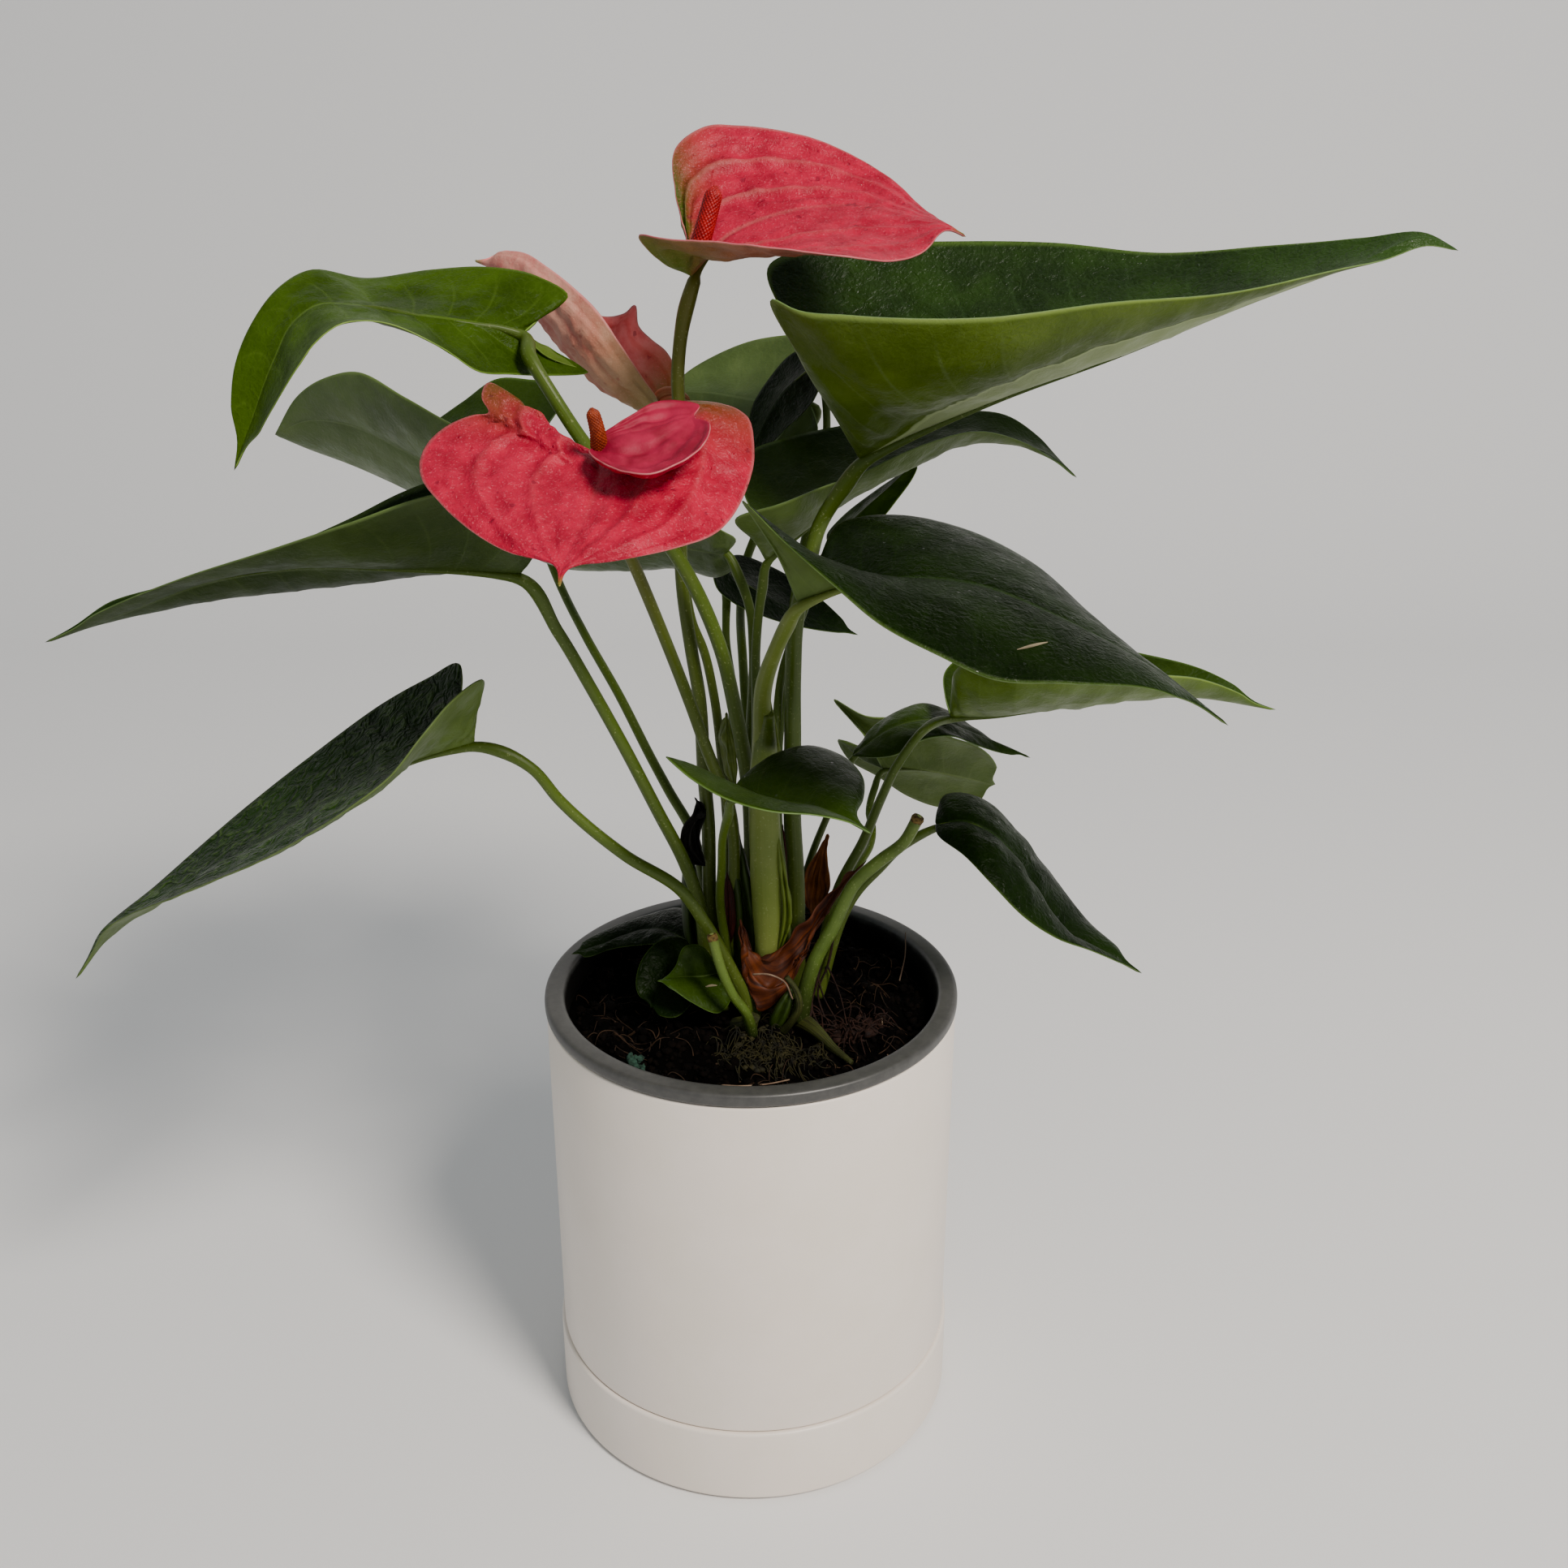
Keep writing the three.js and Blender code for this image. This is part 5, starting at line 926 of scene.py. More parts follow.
flowers = {
    1: {
        "rib": [[-14, -14, 370], [-4, -4, 379], [9, 0, 384], [26, 2, 386], [43, -8, 384], [53, -17, 382],
            [57, -20, 380]],
        "left": [[-16, 0, 379], [-19, 10, 389], [-19, 20, 400], [-11, 26, 405], [-1, 28, 405],
            [18, 26, 402], [38, 16, 393], [48, -2, 385], [52, -12, 383], [55, -18, 381.5]],
        "right": [[-21, -22, 374], [-26, -30, 381], [-18, -38, 381], [-7, -44, 381], [7, -48, 380],
            [23, -46, 378], [36, -40, 376], [45, -30, 377], [50, -24, 380], [54, -20, 381]],
        "cup": [-0.1, -0.24],
        "cupFade": 1.4,
        "spadix": [[-14, -14, 371], [-11, -15, 379], [-7, -14, 392]],
        "spadixRadii": [2.7, 2.2],
        "spadixFrom": 0.24,
        "stalk": [[-14, -14, 370], [-16, -13, 359], [-18, -11, 346], [-18, -7, 326], [-19, -3, 302],
            [-19, 0, 282], [-17, 2, 262], [-15, 3, 247], [-14, 4, 221], [-13, 4, 205], [-13, 4, 181],
            [-12, 5, 147]],
        "radii": [1.8, 2.3],
        "slim": 1.0,
    },
    2: {
        "tone": "pale",
        "rib": [[-29, 40, 325], [-40, 36, 332], [-50, 34, 340], [-58, 32, 349], [-66, 34, 360],
            [-74, 38, 366], [-80, 42, 368]],
        "left": [[-27, 30, 330], [-30, 22, 337], [-36, 16, 348], [-42, 16, 357], [-49, 20, 363],
            [-57, 26, 368], [-64, 32, 371], [-71, 36, 371]],
        "right": [[-23, 50, 328], [-23, 55, 335], [-26, 57, 340], [-30, 58, 343], [-34, 59, 347],
            [-35, 60, 353], [-38, 57, 351], [-45, 52, 351], [-52, 49, 357], [-59, 46, 364], [-66, 44, 369],
            [-74, 43, 371]],
        "cup": [-0.25, -0.25],
        "spadix": [[-29, 41, 326], [-37, 44, 336], [-43, 44, 343]],
        "spadixRadii": [2.2, 1.8],
        "stalk": [[-29, 40, 325], [-27, 28, 321], [-26, 16, 316], [-24, 8, 306], [-22, 8, 295],
            [-19, 11, 279], [-17, 14, 266], [-14, 16, 257], [-11, 15, 242], [-9, 13, 224], [-6, 11, 147]],
        "radii": [1.6, 1.9],
    },
    3: {
        "rib": [[-34, -64, 333], [-34, -72, 329], [-36, -86, 323], [-39, -98, 317], [-40, -108, 313]],
        "left": [[-25, -56, 340], [-12, -46, 343], [1, -50, 340], [3, -58, 332], [1, -68, 325],
            [-5, -82, 319], [-13, -92, 318], [-22, -97, 317], [-31, -99, 316], [-37, -101, 316]],
        "right": [[-43, -60, 336], [-52, -55, 339], [-58, -51, 346], [-63, -49, 348], [-64, -53, 345],
            [-62, -56, 342], [-66, -54, 341], [-72, -57, 339], [-77, -66, 334], [-76, -74, 330],
            [-71, -81, 326], [-63, -88, 321], [-52, -95, 317], [-43, -99, 316]],
        "tone": "ruby",
        "cup": [0.1, 0.02],
        "flap": {"rib": [[-35, -68, 336], [-29, -70, 338], [-23, -69, 339], [-17, -66, 341], [-11, -62, 342]],
                 "left": [[-34, -67, 338], [-30, -66, 341], [-26, -63, 343], [-21, -59, 345],
                     [-15, -57, 345], [-10, -59, 344]],
                 "right": [[-36, -72, 336], [-33, -79, 335], [-26, -86, 334], [-20, -88, 334],
                     [-13, -84, 336], [-8, -76, 339], [-8, -66, 342]],
                 "cup": [-0.06, -0.14]},
        "spadix": [[-34, -67, 334], [-34, -71, 341], [-35, -72, 346]],
        "spadixRadii": [2.2, 1.5],
        "stalk": [[-34, -64, 333], [-33, -60, 324], [-32, -53, 313], [-29, -46, 302], [-21, -32, 273],
            [-16, -24, 254], [-11, -16, 234], [-7, -11, 221], [-8, -1, 147]],
        "radii": [1.9, 2.4],
    },
}


spadixLook = {"rows": 130, "sides": 84, "spirals": 7, "twist": 0.36, "bead": 0.34, "sink": 0.2}


def growSpadix(number, part):
    # A tapering spike: its radius is raised where two families of spirals cross, which makes the beads
    rows, sides, spirals = spadixLook["rows"], spadixLook["sides"], spadixLook["spirals"]
    along = np.linspace(part.get("spadixFrom", 0.06), 1, rows)
    first, last = part["spadixRadii"]
    radius = (first + (last - first) * along) * np.sqrt(1 - (0.97 * smoothStep(along, 0.84, 1.0)) ** 2)
    radius *= 0.55 + 0.45 * smoothStep(along, 0.06, 0.2)
    skin = tubeSkin(curveThrough(part["spadix"], along), radius, sides)
    rings = skin["points"]
    count = (len(rings) - 2) // sides
    turn = np.tile(np.arange(sides) / sides * 2 * pi, count)
    twist = np.repeat(np.arange(count), sides) * spadixLook["twist"]
    centre = rings[1:-1].reshape(count, sides, 3).mean(1).repeat(sides, 0)
    bead = np.abs(np.cos(spirals * turn + twist) * np.cos(spirals * turn - twist))
    lift = spadixLook["bead"] * np.sqrt(bead) - spadixLook["sink"]
    rings[1:-1] += unit(rings[1:-1] - centre) * lift[:, None]
    makePiece(f"spadix_{number}_beads", [skin], [spadixMaterials[number]], "spadix", f"spadix_{number}")


flowerLook = {"thick": 0.8, "rows": 150, "steps": 44, "flapRows": 60, "flapSteps": 20, "flapSeed": 5,
              "keelReach": 0.3}


def growFlower(number, part):
    # A bract, its spike and its stalk; a flap is a second blade in the same piece, whose colours are those at
    # one share along the blade
    sheet = bladeSheet(part, flowerLook["rows"], flowerLook["steps"])
    middle, upper, lower = spatheRelief(sheet, spatheVeins, number)
    skins = [bladeSkin(sheet, flowerLook["thick"], middle, upper, lower)]
    if "flap" in part:
        flap = bladeSheet(part["flap"], flowerLook["flapRows"], flowerLook["flapSteps"])
        bend, upper, lower = spatheRelief(flap, spatheVeins, flowerLook["flapSeed"])
        skins.append(bladeSkin(flap, flowerLook["thick"], bend * 1.1, upper * 0.6, lower * 0.6))
        skins[-1]["zones"] = np.choose(skins[-1]["zones"], [3, 0, 2])
        skins[-1]["quadUv"][..., 1] = 0.6
        skins[-1]["triUv"][..., 1] = 0.6
    tone = part.get("tone", "coral")
    faces = [spatheFaces[tone + "Upper"], spatheFaces[tone + "Under"], spatheEdge, paintedShadeFlapInside]
    makePiece(f"spathe_{number}_bract", skins, faces, "spathe", f"spathe_{number}")
    growSpadix(number, part)
    stalk = f"peduncle_{number}"
    growStalk(stalk + "_skin", part, stalkMaterials["flowerStalk"], stalk, sheet, flowerLook["keelReach"])


for number, part in flowers.items():
    growFlower(number, part)
print("flowers done")


# Cut stubs, sheaths and papery scales
stubs = {
    "stub_right": {
        "stalk": [[50, -17, 216], [46, -17, 208], [39, -17, 202], [32, -17, 195], [25, -18, 180],
            [20, -18, 169], [15, -18, 147]],
        "radii": [2.3, 3.0],
    },
    "stub_front": {
        "stalk": [[-11, -27, 182], [-10, -28, 178], [-8, -29, 171], [-5, -29, 163], [-1, -28, 156],
            [1, -26, 149]],
        "radii": [1.9, 1.8],
    },
}
# A cut stalk: a dried brown collar, which is dull and rough, about a pale moist heart
cutBrown = plainLiving("driedCut", "#3a2a10", "#7a6232", 0.8, 1.0, 0.8)
cutPale = plainLiving("paleHeart", "#8f9a52", "#a9b26a", 0.7, 1.0, 0.5)
for name, part in stubs.items():
    growStalk(name + "_skin", part, stalkMaterials["cutStalk"], name)
    end, before = np.array(part["stalk"][0], float), np.array(part["stalk"][1], float)
    out = unit(end - before)
    radius = part["radii"][0] * stalkShape["slim"]
    collarPath = [end - out * 1.6, end - out * 0.4, end + out * 0.5]
    collar = tubeSkin(collarPath, [radius, radius * 1.1, radius * 0.9], 20)
    heart = tubeSkin([end, end + out * 0.7], [radius * 0.45, radius * 0.4], 14, zone=1)
    makePiece(name + "_cut", [collar, heart], [cutBrown, cutPale], "stalk")

scales = {
    "sheath_1": {
        "rib": [[-5, 4, 217], [-7, 4, 229], [-7, 5, 241]],
        "left": [[-7, 7, 219], [-9, 8, 227], [-9, 7, 236]],
        "right": [[-4, 4, 221], [-4, 4, 229], [-6, 5, 237]],
    },
    "sheath_2": {
        "rib": [[8, -9, 218], [7, -11, 236], [6, -18, 257]],
        "left": [[6, -8, 223], [6, -10, 237], [5, -15, 249]],
        "right": [[10, -8, 223], [9, -10, 237], [7, -15, 250]],
    },
    "papery_scale_front": {
        "look": "papery",
        "rib": [[-3, -14, 181], [-1, -16, 168], [5, -17, 158], [13, -16, 165], [22, -11, 179],
            [30, -6, 190], [36, -4, 196]],
        "left": [[-1, -14, 176], [2, -15, 168], [6, -16, 167], [11, -15, 173], [16, -13, 179],
            [23, -9, 185], [30, -5, 192]],
        "right": [[-3, -15, 173], [-1, -17, 162], [3, -20, 152], [11, -18, 158], [16, -16, 167],
            [20, -12, 176], [28, -8, 187]],
    },
    "papery_scale_back": {
        "look": "golden",
        "rib": [[20, 14, 166], [21, 14, 181], [24, 13, 197]],
        "left": [[17, 14, 172], [17, 14, 182], [21, 14, 191]],
        "right": [[23, 12, 172], [25, 11, 180], [24, 12, 191]],
    },
}

scaleLooks = {"golden": dryFace("goldenScale", "#4a1e08", "#a8642a", 0.55, 0.2, 9.0),
              "papery": dryFace("driedScale", "#260c05", "#6e3410", 0.55, 0.25, 12.0),
              "sheath": dryFace("youngSheath", "#4a5a12", "#66752c", 0.42, 0.05, 6.0),
              "darkSheath": dryFace("shadedSheath", "#1c2a04", "#344812", 0.5, 0.05, 8.0),
              "redScale": dryFace("darkRedScale", "#1a0604", "#4a1610", 0.6),
              "beige": dryFace("beigeLobe", "#8a5434", "#b8845c", 0.5, 0.1, 6.0),
              "withered": dryFace("blackWithered", "#050403", "#14100c", 0.55)}
for name, part in scales.items():
    part["cup"] = [-0.1, -0.1]
    sheet = bladeSheet(part, 56, 10)
    bend = crumple(sheet["points"], 7, 0.35, 3)
    ridges = 0.1 * np.sin(sheet["t"] * 16)
    look = scaleLooks[part.get("look", "sheath")]
    slot = "stalk" if name.startswith("sheath") else "papery_scale"
    makePiece(name + "_skin", [bladeSkin(sheet, 0.45, bend, ridges, -ridges)], [look] * 3, slot, name)

# Small blades about the crown: sheaths that wrap the stalks, dark-red slivers, one withered black curl
crownBits = {
    "sheath_wing": {"path": [[8, -11, 166], [11, -12, 180], [10, -13, 196], [8, -13, 212]], "width": 1.2,
                    "cup": -0.3, "look": "sheath"},
    "middle_sheath": {"path": [[-1, -2, 152], [-2, -3, 178], [-4, -3, 198], [-5, -2, 210]], "width": 3.8,
                      "cup": -0.4, "look": "darkSheath"},
    "back_sheath": {"path": [[-16, 4, 150], [-18, 3, 168], [-19, 3, 185], [-20, 4, 200]], "width": 3.4,
                    "cup": -0.4, "look": "darkSheath"},
    "front_lump": {"path": [[7, -23, 148], [9, -24, 153], [11, -24, 158], [13, -22, 162]], "width": 2.6,
                   "cup": -0.5, "look": "darkSheath"},
    "beige_lobe": {"path": [[-28, 37, 327], [-25, 35, 330], [-21, 35, 330], [-17, 36, 328]], "width": 2.6,
                   "cup": -0.4, "look": "beige"},
    "red_right": {"path": [[10, -1, 178], [10, -2, 192], [10, -1, 207]], "width": 1.5, "cup": -0.3,
                  "look": "redScale"},
    "red_middle": {"path": [[-8, -6, 166], [-7, -7, 180], [-7, -6, 193]], "width": 2.6, "cup": -0.3,
                   "look": "redScale"},
    "red_left": {"path": [[-14, -5, 170], [-16, -6, 180], [-18, -5, 189]], "width": 1.6, "cup": -0.3,
                 "look": "redScale"},
    "black_curl": {"path": [[-14, 0, 192], [-18, -1, 198], [-18, -2, 205], [-15, 0, 211], [-17, 1, 215]],
                   "width": 3.0, "cup": 0.5, "look": "withered"},
}


def narrowBlade(path, width, cup):
    # Both margins follow the path at a distance that swells from nothing to width and shrinks to the tip
    rib = curveThrough(path, np.linspace(0, 1, 9))
    aside = unit(np.cross(np.gradient(rib, axis=0), [0.15, -1.0, 0.25]))
    swell = (width * np.sin(pi * np.linspace(0, 1, 9) ** 0.75) ** 0.7)[:, None]
    return {"rib": rib.tolist(), "left": (rib + aside * swell)[1:-1].tolist(),
            "right": (rib - aside * swell)[1:-1].tolist(), "cup": [cup, cup]}


for name, bit in crownBits.items():
    sheet = bladeSheet(narrowBlade(bit["path"], bit["width"], bit["cup"]), 48, 8)
    bend = crumple(sheet["points"], 9, 0.1, len(name))
    look = scaleLooks[bit["look"]]
    slot = "stalk" if "heath" in bit["look"] else "papery_scale"
    makePiece(name, [bladeSkin(sheet, 0.5, bend, 0 * bend, 0 * bend)], [look] * 3, slot)


# The broad young stem in the middle: its sheath hides the stalk inside it
bigStem = {"path": [[4, -9, 156], [5, -10, 165], [5.5, -10, 175], [5.5, -10, 186], [5, -11, 200],
                    [4.6, -12, 214], [4.6, -15, 228], [5, -20, 241], [6, -26, 252]],
           "radii": [1.8, 3.8, 4.9, 5.2, 4.8, 4.5, 4.3, 3.4, 1.6]}
where = np.linspace(0, 1, 90)
radius = np.interp(where, np.linspace(0, 1, len(bigStem["radii"])), bigStem["radii"])
makePiece("broad_stem", [tubeSkin(curveThrough(bigStem["path"], where), radius, 28, flatten=0.8)],
          [stalkMaterials["innerStalk"]], "stalk")
print("stubs and scales done")


# Pots and soil
# Injection-moulded plastic: the white is satin and nearly even, so a broad soft glow runs down its side; the
# grey is duller and finely grained, and its inner wall is near black up to a ragged line near the rim
potWhite = grainy("satinWhitePot", "#e4dace", "#e8ded4", 0.38, 30.0, 0.12, 0.04, 0.5)
rimGrey = grainy("mouldedGreyPot", "#3b3b3a", "#464644", 0.4, 3.0, 0.3, 0.08, 0.5,
                innerWallDark={"colour": "#0b0907", "top": 0.1518, "radius": 0.0597})

saucerProfile = [(0, 0), (61, 0), (66, 1.2), (66, 27.3), (63.4, 27.3), (63.4, 3), (52, 3), (52, 9), (48, 9),
                 (48, 3), (0, 3)]
coverProfile = [(0, 9.3), (63.1, 9.3), (63.1, 27.6), (65, 27.6), (65, 146.5), (61, 146.5), (61, 13.3),
                (0, 13.3)]
nurseryProfile = [(0, 14), (46, 14), (60.6, 146.8), (65.5, 146.8), (65.5, 151.1), (59.3, 151.1),
                  (44.6, 15.6), (0, 15.6)]
makePiece("saucer_dish", [turnedSkin(rounded(saucerProfile, 1.2))], [potWhite], "white_pot", "saucer")
makePiece("cover_pot_shell", [turnedSkin(rounded(coverProfile, 1.0))], [potWhite], "white_pot", "cover_pot")
makePiece("nursery_pot_shell", [turnedSkin(rounded(nurseryProfile, 1.5))], [rimGrey], "grey_pot",
          "nursery_pot")

random = np.random.default_rng(7)
soilLook = {"lump": 1.5, "waves": 40, "crumbs": 2600, "crumbSize": (0.5, 2.2), "paleCrumbs": 46,
            "paleSize": (0.35, 0.9), "fibres": 150, "fibreLength": (4, 13)}
waves = random.normal(0, 1, (soilLook["waves"], 2)) * np.geomspace(0.08, 1.4, soilLook["waves"])[:, None]
shifts = random.uniform(0, 2 * pi, soilLook["waves"])


def lumps(x, y):
    # The sum of crossing waves, the finer the lower
    height = 1 / (1 + 6 * np.linalg.norm(waves, axis=1))
    angle = x[..., None] * waves[:, 0] + y[..., None] * waves[:, 1] + shifts
    return (np.cos(angle) * height).sum(-1)


def groundAt(x, y):
    # The soil's own height plus its lumps, which fade out at the wall of the pot
    inside = smoothStep(np.hypot(x, y), 58.5, 54)
    return soilHeight(x, y) + soilLook["lump"] * lumps(x, y) * inside - 0.4


radius = np.concatenate([[0], np.linspace(0.5, 58.3, 110), [58.6, 56, 46, 44.2, 0]])
turn = np.arange(300) / 300 * 2 * pi
x, y = radius[:, None] * np.cos(turn), radius[:, None] * np.sin(turn)
z = groundAt(x, y)
z[-5:] = np.array([141, 120, 30, 15.9, 15.9])[:, None]
u, v = np.meshgrid(np.arange(301) / 300, np.linspace(0, 1, len(radius)))
# Damp peat with bark crumbs and dry fibres: almost black and without sheen, the fibres paler
soilMaterial = grainy("dampPeat", "#010101", "#050302", 0.95, 2.2, 0.9, 0.8, 0.04)
makePiece("soil_ground", [closedSkin(np.stack([x, y, z], -1), np.stack([u, v], -1))], [soilMaterial], "soil",
          "soil")


def crumbSkins(count, sizes, spread, middle=(0, 0), lift=0.2):
    # Small rough lumps: five rings of six points as a ball, squashed, dented and turned at random
    polar = np.array([0, 0.75, 1.5, 2.3, pi])[:, None]
    turn = np.arange(6) / 6 * 2 * pi
    ball = [np.sin(polar) * np.cos(turn), np.sin(polar) * np.sin(turn), np.cos(polar) + 0 * turn]
    ball = np.stack(ball, -1)
    skins = []
    for _ in range(count):
        r, a, spin = spread * np.sqrt(random.uniform(0.01, 1)), *random.uniform(0, 2 * pi, 2)
        size = random.uniform(*sizes) * random.uniform(0.4, 1) * np.array([1, random.uniform(0.5, 1), 0.6])
        shape = ball * size * random.uniform(0.7, 1.25, (5, 6, 1))
        c, s = np.cos(spin), np.sin(spin)
        turned = shape @ np.array([[c, s, 0], [-s, c, 0], [0, 0, 1]])
        place = np.array([middle[0] + r * np.cos(a), middle[1] + r * np.sin(a), 0])
        place[2] = groundAt(place[0], place[1]) + size[2] * lift
        skins.append(closedSkin(turned + place, np.zeros((5, 7, 2))))
    return skins


def strand(path, first, last, sides=7):
    # A thin root or thread along a path, from its first to its last radius
    where = np.linspace(0, 1, 6 * len(path))
    return tubeSkin(curveThrough(path, where), first + (last - first) * where, sides, wobble=0.1)


def fibreSkins(count, middle, spread, length, radius, rise):
    # Threads that start on the ground, wander in a random direction, and rise and fall back again
    skins = []
    for _ in range(count):
        r, a, heading = np.sqrt(random.uniform(0, 1)), *random.uniform(0, 2 * pi, 2)
        size = random.uniform(*length)
        place = np.array([middle[0] + spread[0] * r * np.cos(a), middle[1] + spread[1] * r * np.sin(a)])
        path = []
        for share in (0, 0.3, 0.6, 1):
            flat = place + size * share * np.array([np.cos(heading + share), np.sin(heading + share)])
            flat *= min(1, 57 / max(np.hypot(*flat), 1))
            up = rise * size * np.sin(pi * min(share * 1.1, 1)) * random.uniform(0.5, 1.2)
            path.append([*flat, groundAt(*flat) + up - 0.3 * (share == 0) + 0.2])
        skins.append(strand(path, radius, radius * 0.45, 6))
    return skins


crumbMaterial = grainy("barkCrumbs", "#020101", "#0c0704", 0.9, 4.0, 0.8, 0.4, 0.06)
fibreMaterial = grainy("dryFibre", "#160d07", "#3c2a1a", 0.8, 4.0, 0.5, 0.3)
makePiece("soil_crumbs", crumbSkins(soilLook["crumbs"], soilLook["crumbSize"], 56), [crumbMaterial], "soil")
paleCrumbs = crumbSkins(soilLook["paleCrumbs"], soilLook["paleSize"], 55, lift=1.0)
makePiece("pale_crumbs", paleCrumbs, [fibreMaterial], "soil")
fibres = fibreSkins(soilLook["fibres"], (0, 0), (54, 54), soilLook["fibreLength"], 0.2, 0.12)
makePiece("soil_fibres", fibres, [fibreMaterial], "soil")
print("soil done")

# Damp living moss: dark olive threads with hardly any sheen
mossMaterial = plainLiving("dampMoss", "#0b0b04", "#2c280a", 0.8, 3.0, 0.6)
mossLook = {"threads": 340, "length": (2.2, 6), "radius": 0.22, "lumps": 130, "lumpSize": (0.8, 2.0)}
moss = fibreSkins(mossLook["threads"], (6, -33), (17, 8), mossLook["length"], mossLook["radius"], 0.4)
makePiece("moss_threads", moss, [mossMaterial], "moss", "moss")
cushion = crumbSkins(mossLook["lumps"], mossLook["lumpSize"], 9, (4, -33), 0.3)
makePiece("moss_cushion", cushion, [mossMaterial], "moss")

# Dry fibrous roots: dull brown threads with a faint grain
rootBrown = grainy("fibrousRoot", "#100705", "#301a11", 0.75, 3.0, 0.7, 0.4)
lumpLook = {"rootLumps": 60, "rootLumpSize": (1.5, 3.4), "threads": 60, "length": (5, 11), "crust": 14,
            "crustSize": (1.0, 2.2)}
rootLump = crumbSkins(lumpLook["rootLumps"], lumpLook["rootLumpSize"], 8, (33, -17), 0.9)
rootLump += fibreSkins(lumpLook["threads"], (33, -17), (11, 8), lumpLook["length"], 0.3, 0.45)
makePiece("root_lump", rootLump, [rootBrown], "soil")
crust = crumbSkins(lumpLook["crust"], lumpLook["crustSize"], 2.6, (-34, -37), 1.2)
crustMaterial = grainy("greenCrust", "#16281f", "#2f4d40", 0.85, 1.5, 0.6, 0.4)
makePiece("blue_lump", crust, [crustMaterial], "soil")

# Roots and old stalk ends at the foot of the crown, each a path with its first and last radius
footRoots = {
    "oldRoot": ([[12, -14, 148], [19, -22, 147.5], [25, -29, 145], [31, -35, 143]], 3.2, 0.7),
    "curvedStem": ([[10, -25, 148], [13, -27, 153], [15, -27, 158], [14, -26, 163], [11, -25, 167]],
                   1.3, 0.9),
    "greenKnob": ([[-4, -20, 147], [0, -24, 150], [1, -25, 153]], 3.0, 2.2),
}
hangingRoots = {
    "rootOne": ([[26, -6, 172], [24, -9, 162], [21, -11, 154], [24, -15, 144]], 0.4, 0.3),
    "rootTwo": ([[22, -7, 166], [21, -10, 158], [19, -13, 150], [22, -20, 145]], 0.55, 0.3),
    "rootThree": ([[20, -9, 162], [23, -12, 152], [27, -14, 145]], 0.35, 0.2),
    "rootFour": ([[17, -12, 158], [19, -15, 151], [17, -22, 147]], 0.6, 0.4),
    "rootFive": ([[24, -5, 160], [28, -8, 151], [30, -16, 145]], 0.3, 0.2),
}
paleRoots = {
    "hairOne": ([[39, 0, 144], [41, -10, 145], [41, -20, 144.5], [42, -33, 143.5]], 0.35, 0.2),
    "hairTwo": ([[1, -27, 169], [6, -29, 170], [10, -29, 168], [13, -28, 161]], 0.3, 0.25),
    "hairThree": ([[-8, -48, 143.5], [-2, -50, 144.5], [6, -48, 144], [12, -45, 143.5]], 0.3, 0.2),
    "hairFour": ([[48, 12, 144], [50, 16, 152], [50, 17, 160]], 0.25, 0.15),
}
makePiece("foot_roots", [strand(*root, 12) for root in footRoots.values()],
          [dryFace("oldRootSkin", "#1c1e08", "#3e4416", 0.6)], "stalk")
makePiece("hanging_roots", [strand(*root) for root in hangingRoots.values()], [rootBrown], "soil")
makePiece("pale_roots", [strand(*root) for root in paleRoots.values()],
          [plainLiving("paleRoot", "#5c483a", "#86705c", 0.6)], "soil")
print("moss and roots done")


# Camera, light and floor
view = {"place": (0.0104, -0.4765, 0.4201), "lookDown": 22.82, "lens": 39.13, "sensor": 36}
camera = bpy.data.objects.new("camera", bpy.data.cameras.new("camera"))
bpy.context.scene.collection.objects.link(camera)
camera.location = view["place"]
camera.rotation_euler = (radians(90 - view["lookDown"]), 0, 0)
camera.data.lens = view["lens"]
camera.data.sensor_width = view["sensor"]
camera.data.clip_end = 20
bpy.context.scene.camera = camera

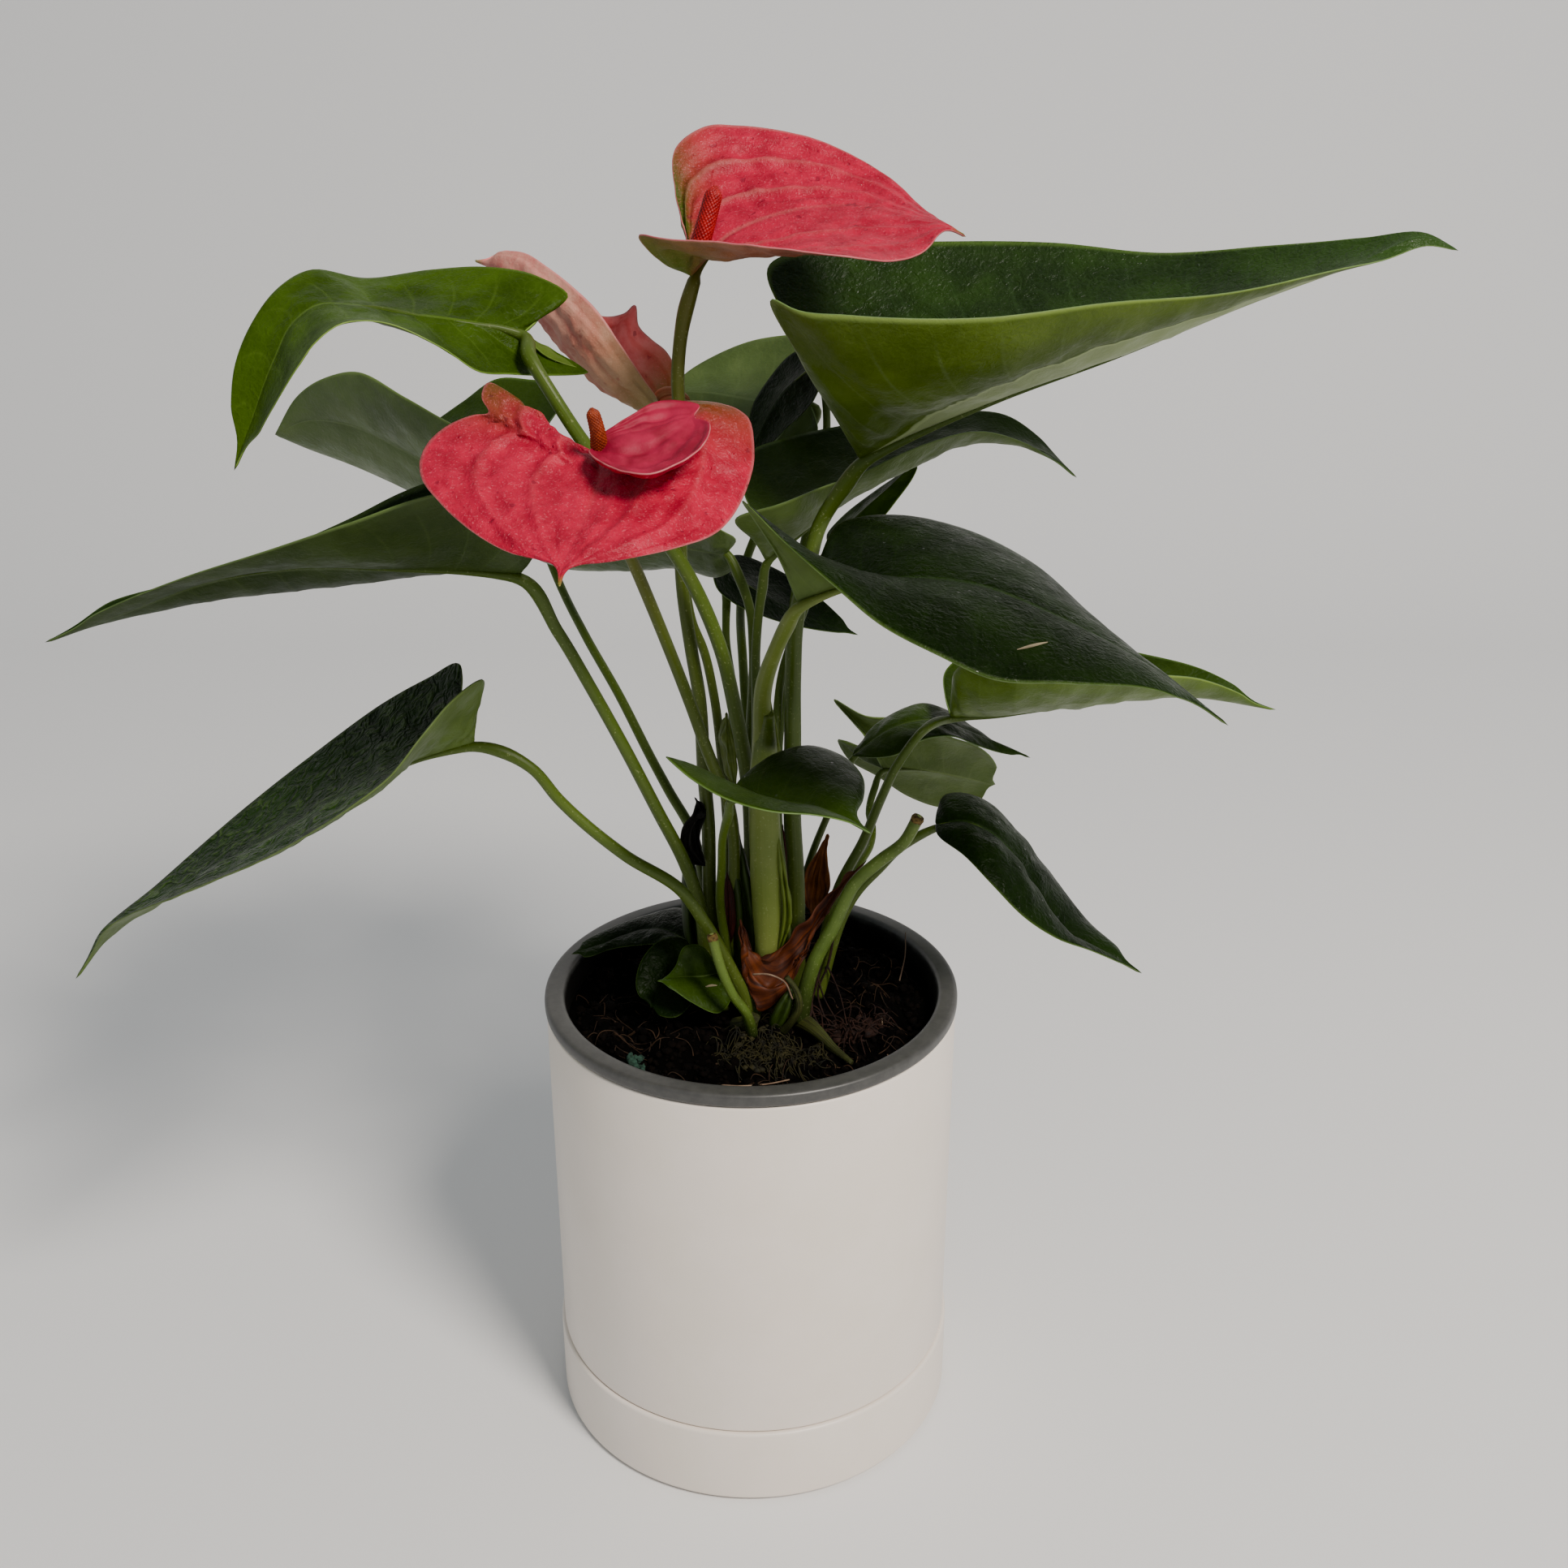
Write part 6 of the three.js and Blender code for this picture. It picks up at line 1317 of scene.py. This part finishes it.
studio = {"floor": "#e4e4e4", "world": "#e0e7ec", "worldStrength": 0.5, "key": "#fff6ec", "keyPower": 57,
          "keyPlace": (0.88, -1.18, 1.7), "keySize": 0.6}

# The paper lies flat in metres up to its bend, and then rises by a quarter of an ellipse
sweep = {"reach": 8, "bendAt": 0.8, "bendDepth": 0.9, "bendHeight": 2.4, "flatRows": 22, "bendRows": 18}
flat = np.linspace(-sweep["reach"], sweep["bendAt"], sweep["flatRows"])
turned = np.arange(1, sweep["bendRows"] + 1) / sweep["bendRows"] * pi / 2
side, depth = np.meshgrid(np.linspace(-sweep["reach"], sweep["reach"], 17),
                          np.concatenate([flat, sweep["bendAt"] + sweep["bendDepth"] * np.sin(turned)]))
height = np.concatenate([0 * flat, sweep["bendHeight"] * (1 - np.cos(turned))])[:, None] + 0 * side
floorMesh = bpy.data.meshes.new("floor")
index = np.arange(side.size).reshape(side.shape)
quads = np.stack([index[:-1, :-1], index[:-1, 1:], index[1:, 1:], index[1:, :-1]], -1).reshape(-1, 4)
floorMesh.from_pydata(np.stack([side, depth, height], -1).reshape(-1, 3), [], quads.tolist())
floorMesh.polygons.foreach_set("use_smooth", np.ones(len(quads), bool))
floor = bpy.data.objects.new("floor", floorMesh)
bpy.context.scene.collection.objects.link(floor)
# Matt paper: even and dull, so that only the soft shadow shows
floorMesh.materials.append(grainy("mattPaperSweep", studio["floor"], None, 0.8, 300, 0.02, 0.05))

world = bpy.data.worlds.new("studio")
bpy.context.scene.world = world
world.use_nodes = True
background = world.node_tree.nodes["Background"]
background.inputs["Color"].default_value = linear(studio["world"])
background.inputs["Strength"].default_value = studio["worldStrength"]

lamp = bpy.data.lights.new("softbox", "AREA")
lamp.shape = "DISK"
lamp.size = studio["keySize"]
lamp.energy = studio["keyPower"]
lamp.color = linear(studio["key"])[:3]
softbox = bpy.data.objects.new("softbox", lamp)
bpy.context.scene.collection.objects.link(softbox)
softbox.location = studio["keyPlace"]
away = np.array(studio["keyPlace"]) - (0, 0, 0.2)
softbox.rotation_euler = (np.arctan2(np.hypot(away[0], away[1]), away[2]), 0, np.arctan2(away[0], -away[1]))
print("camera and light done")
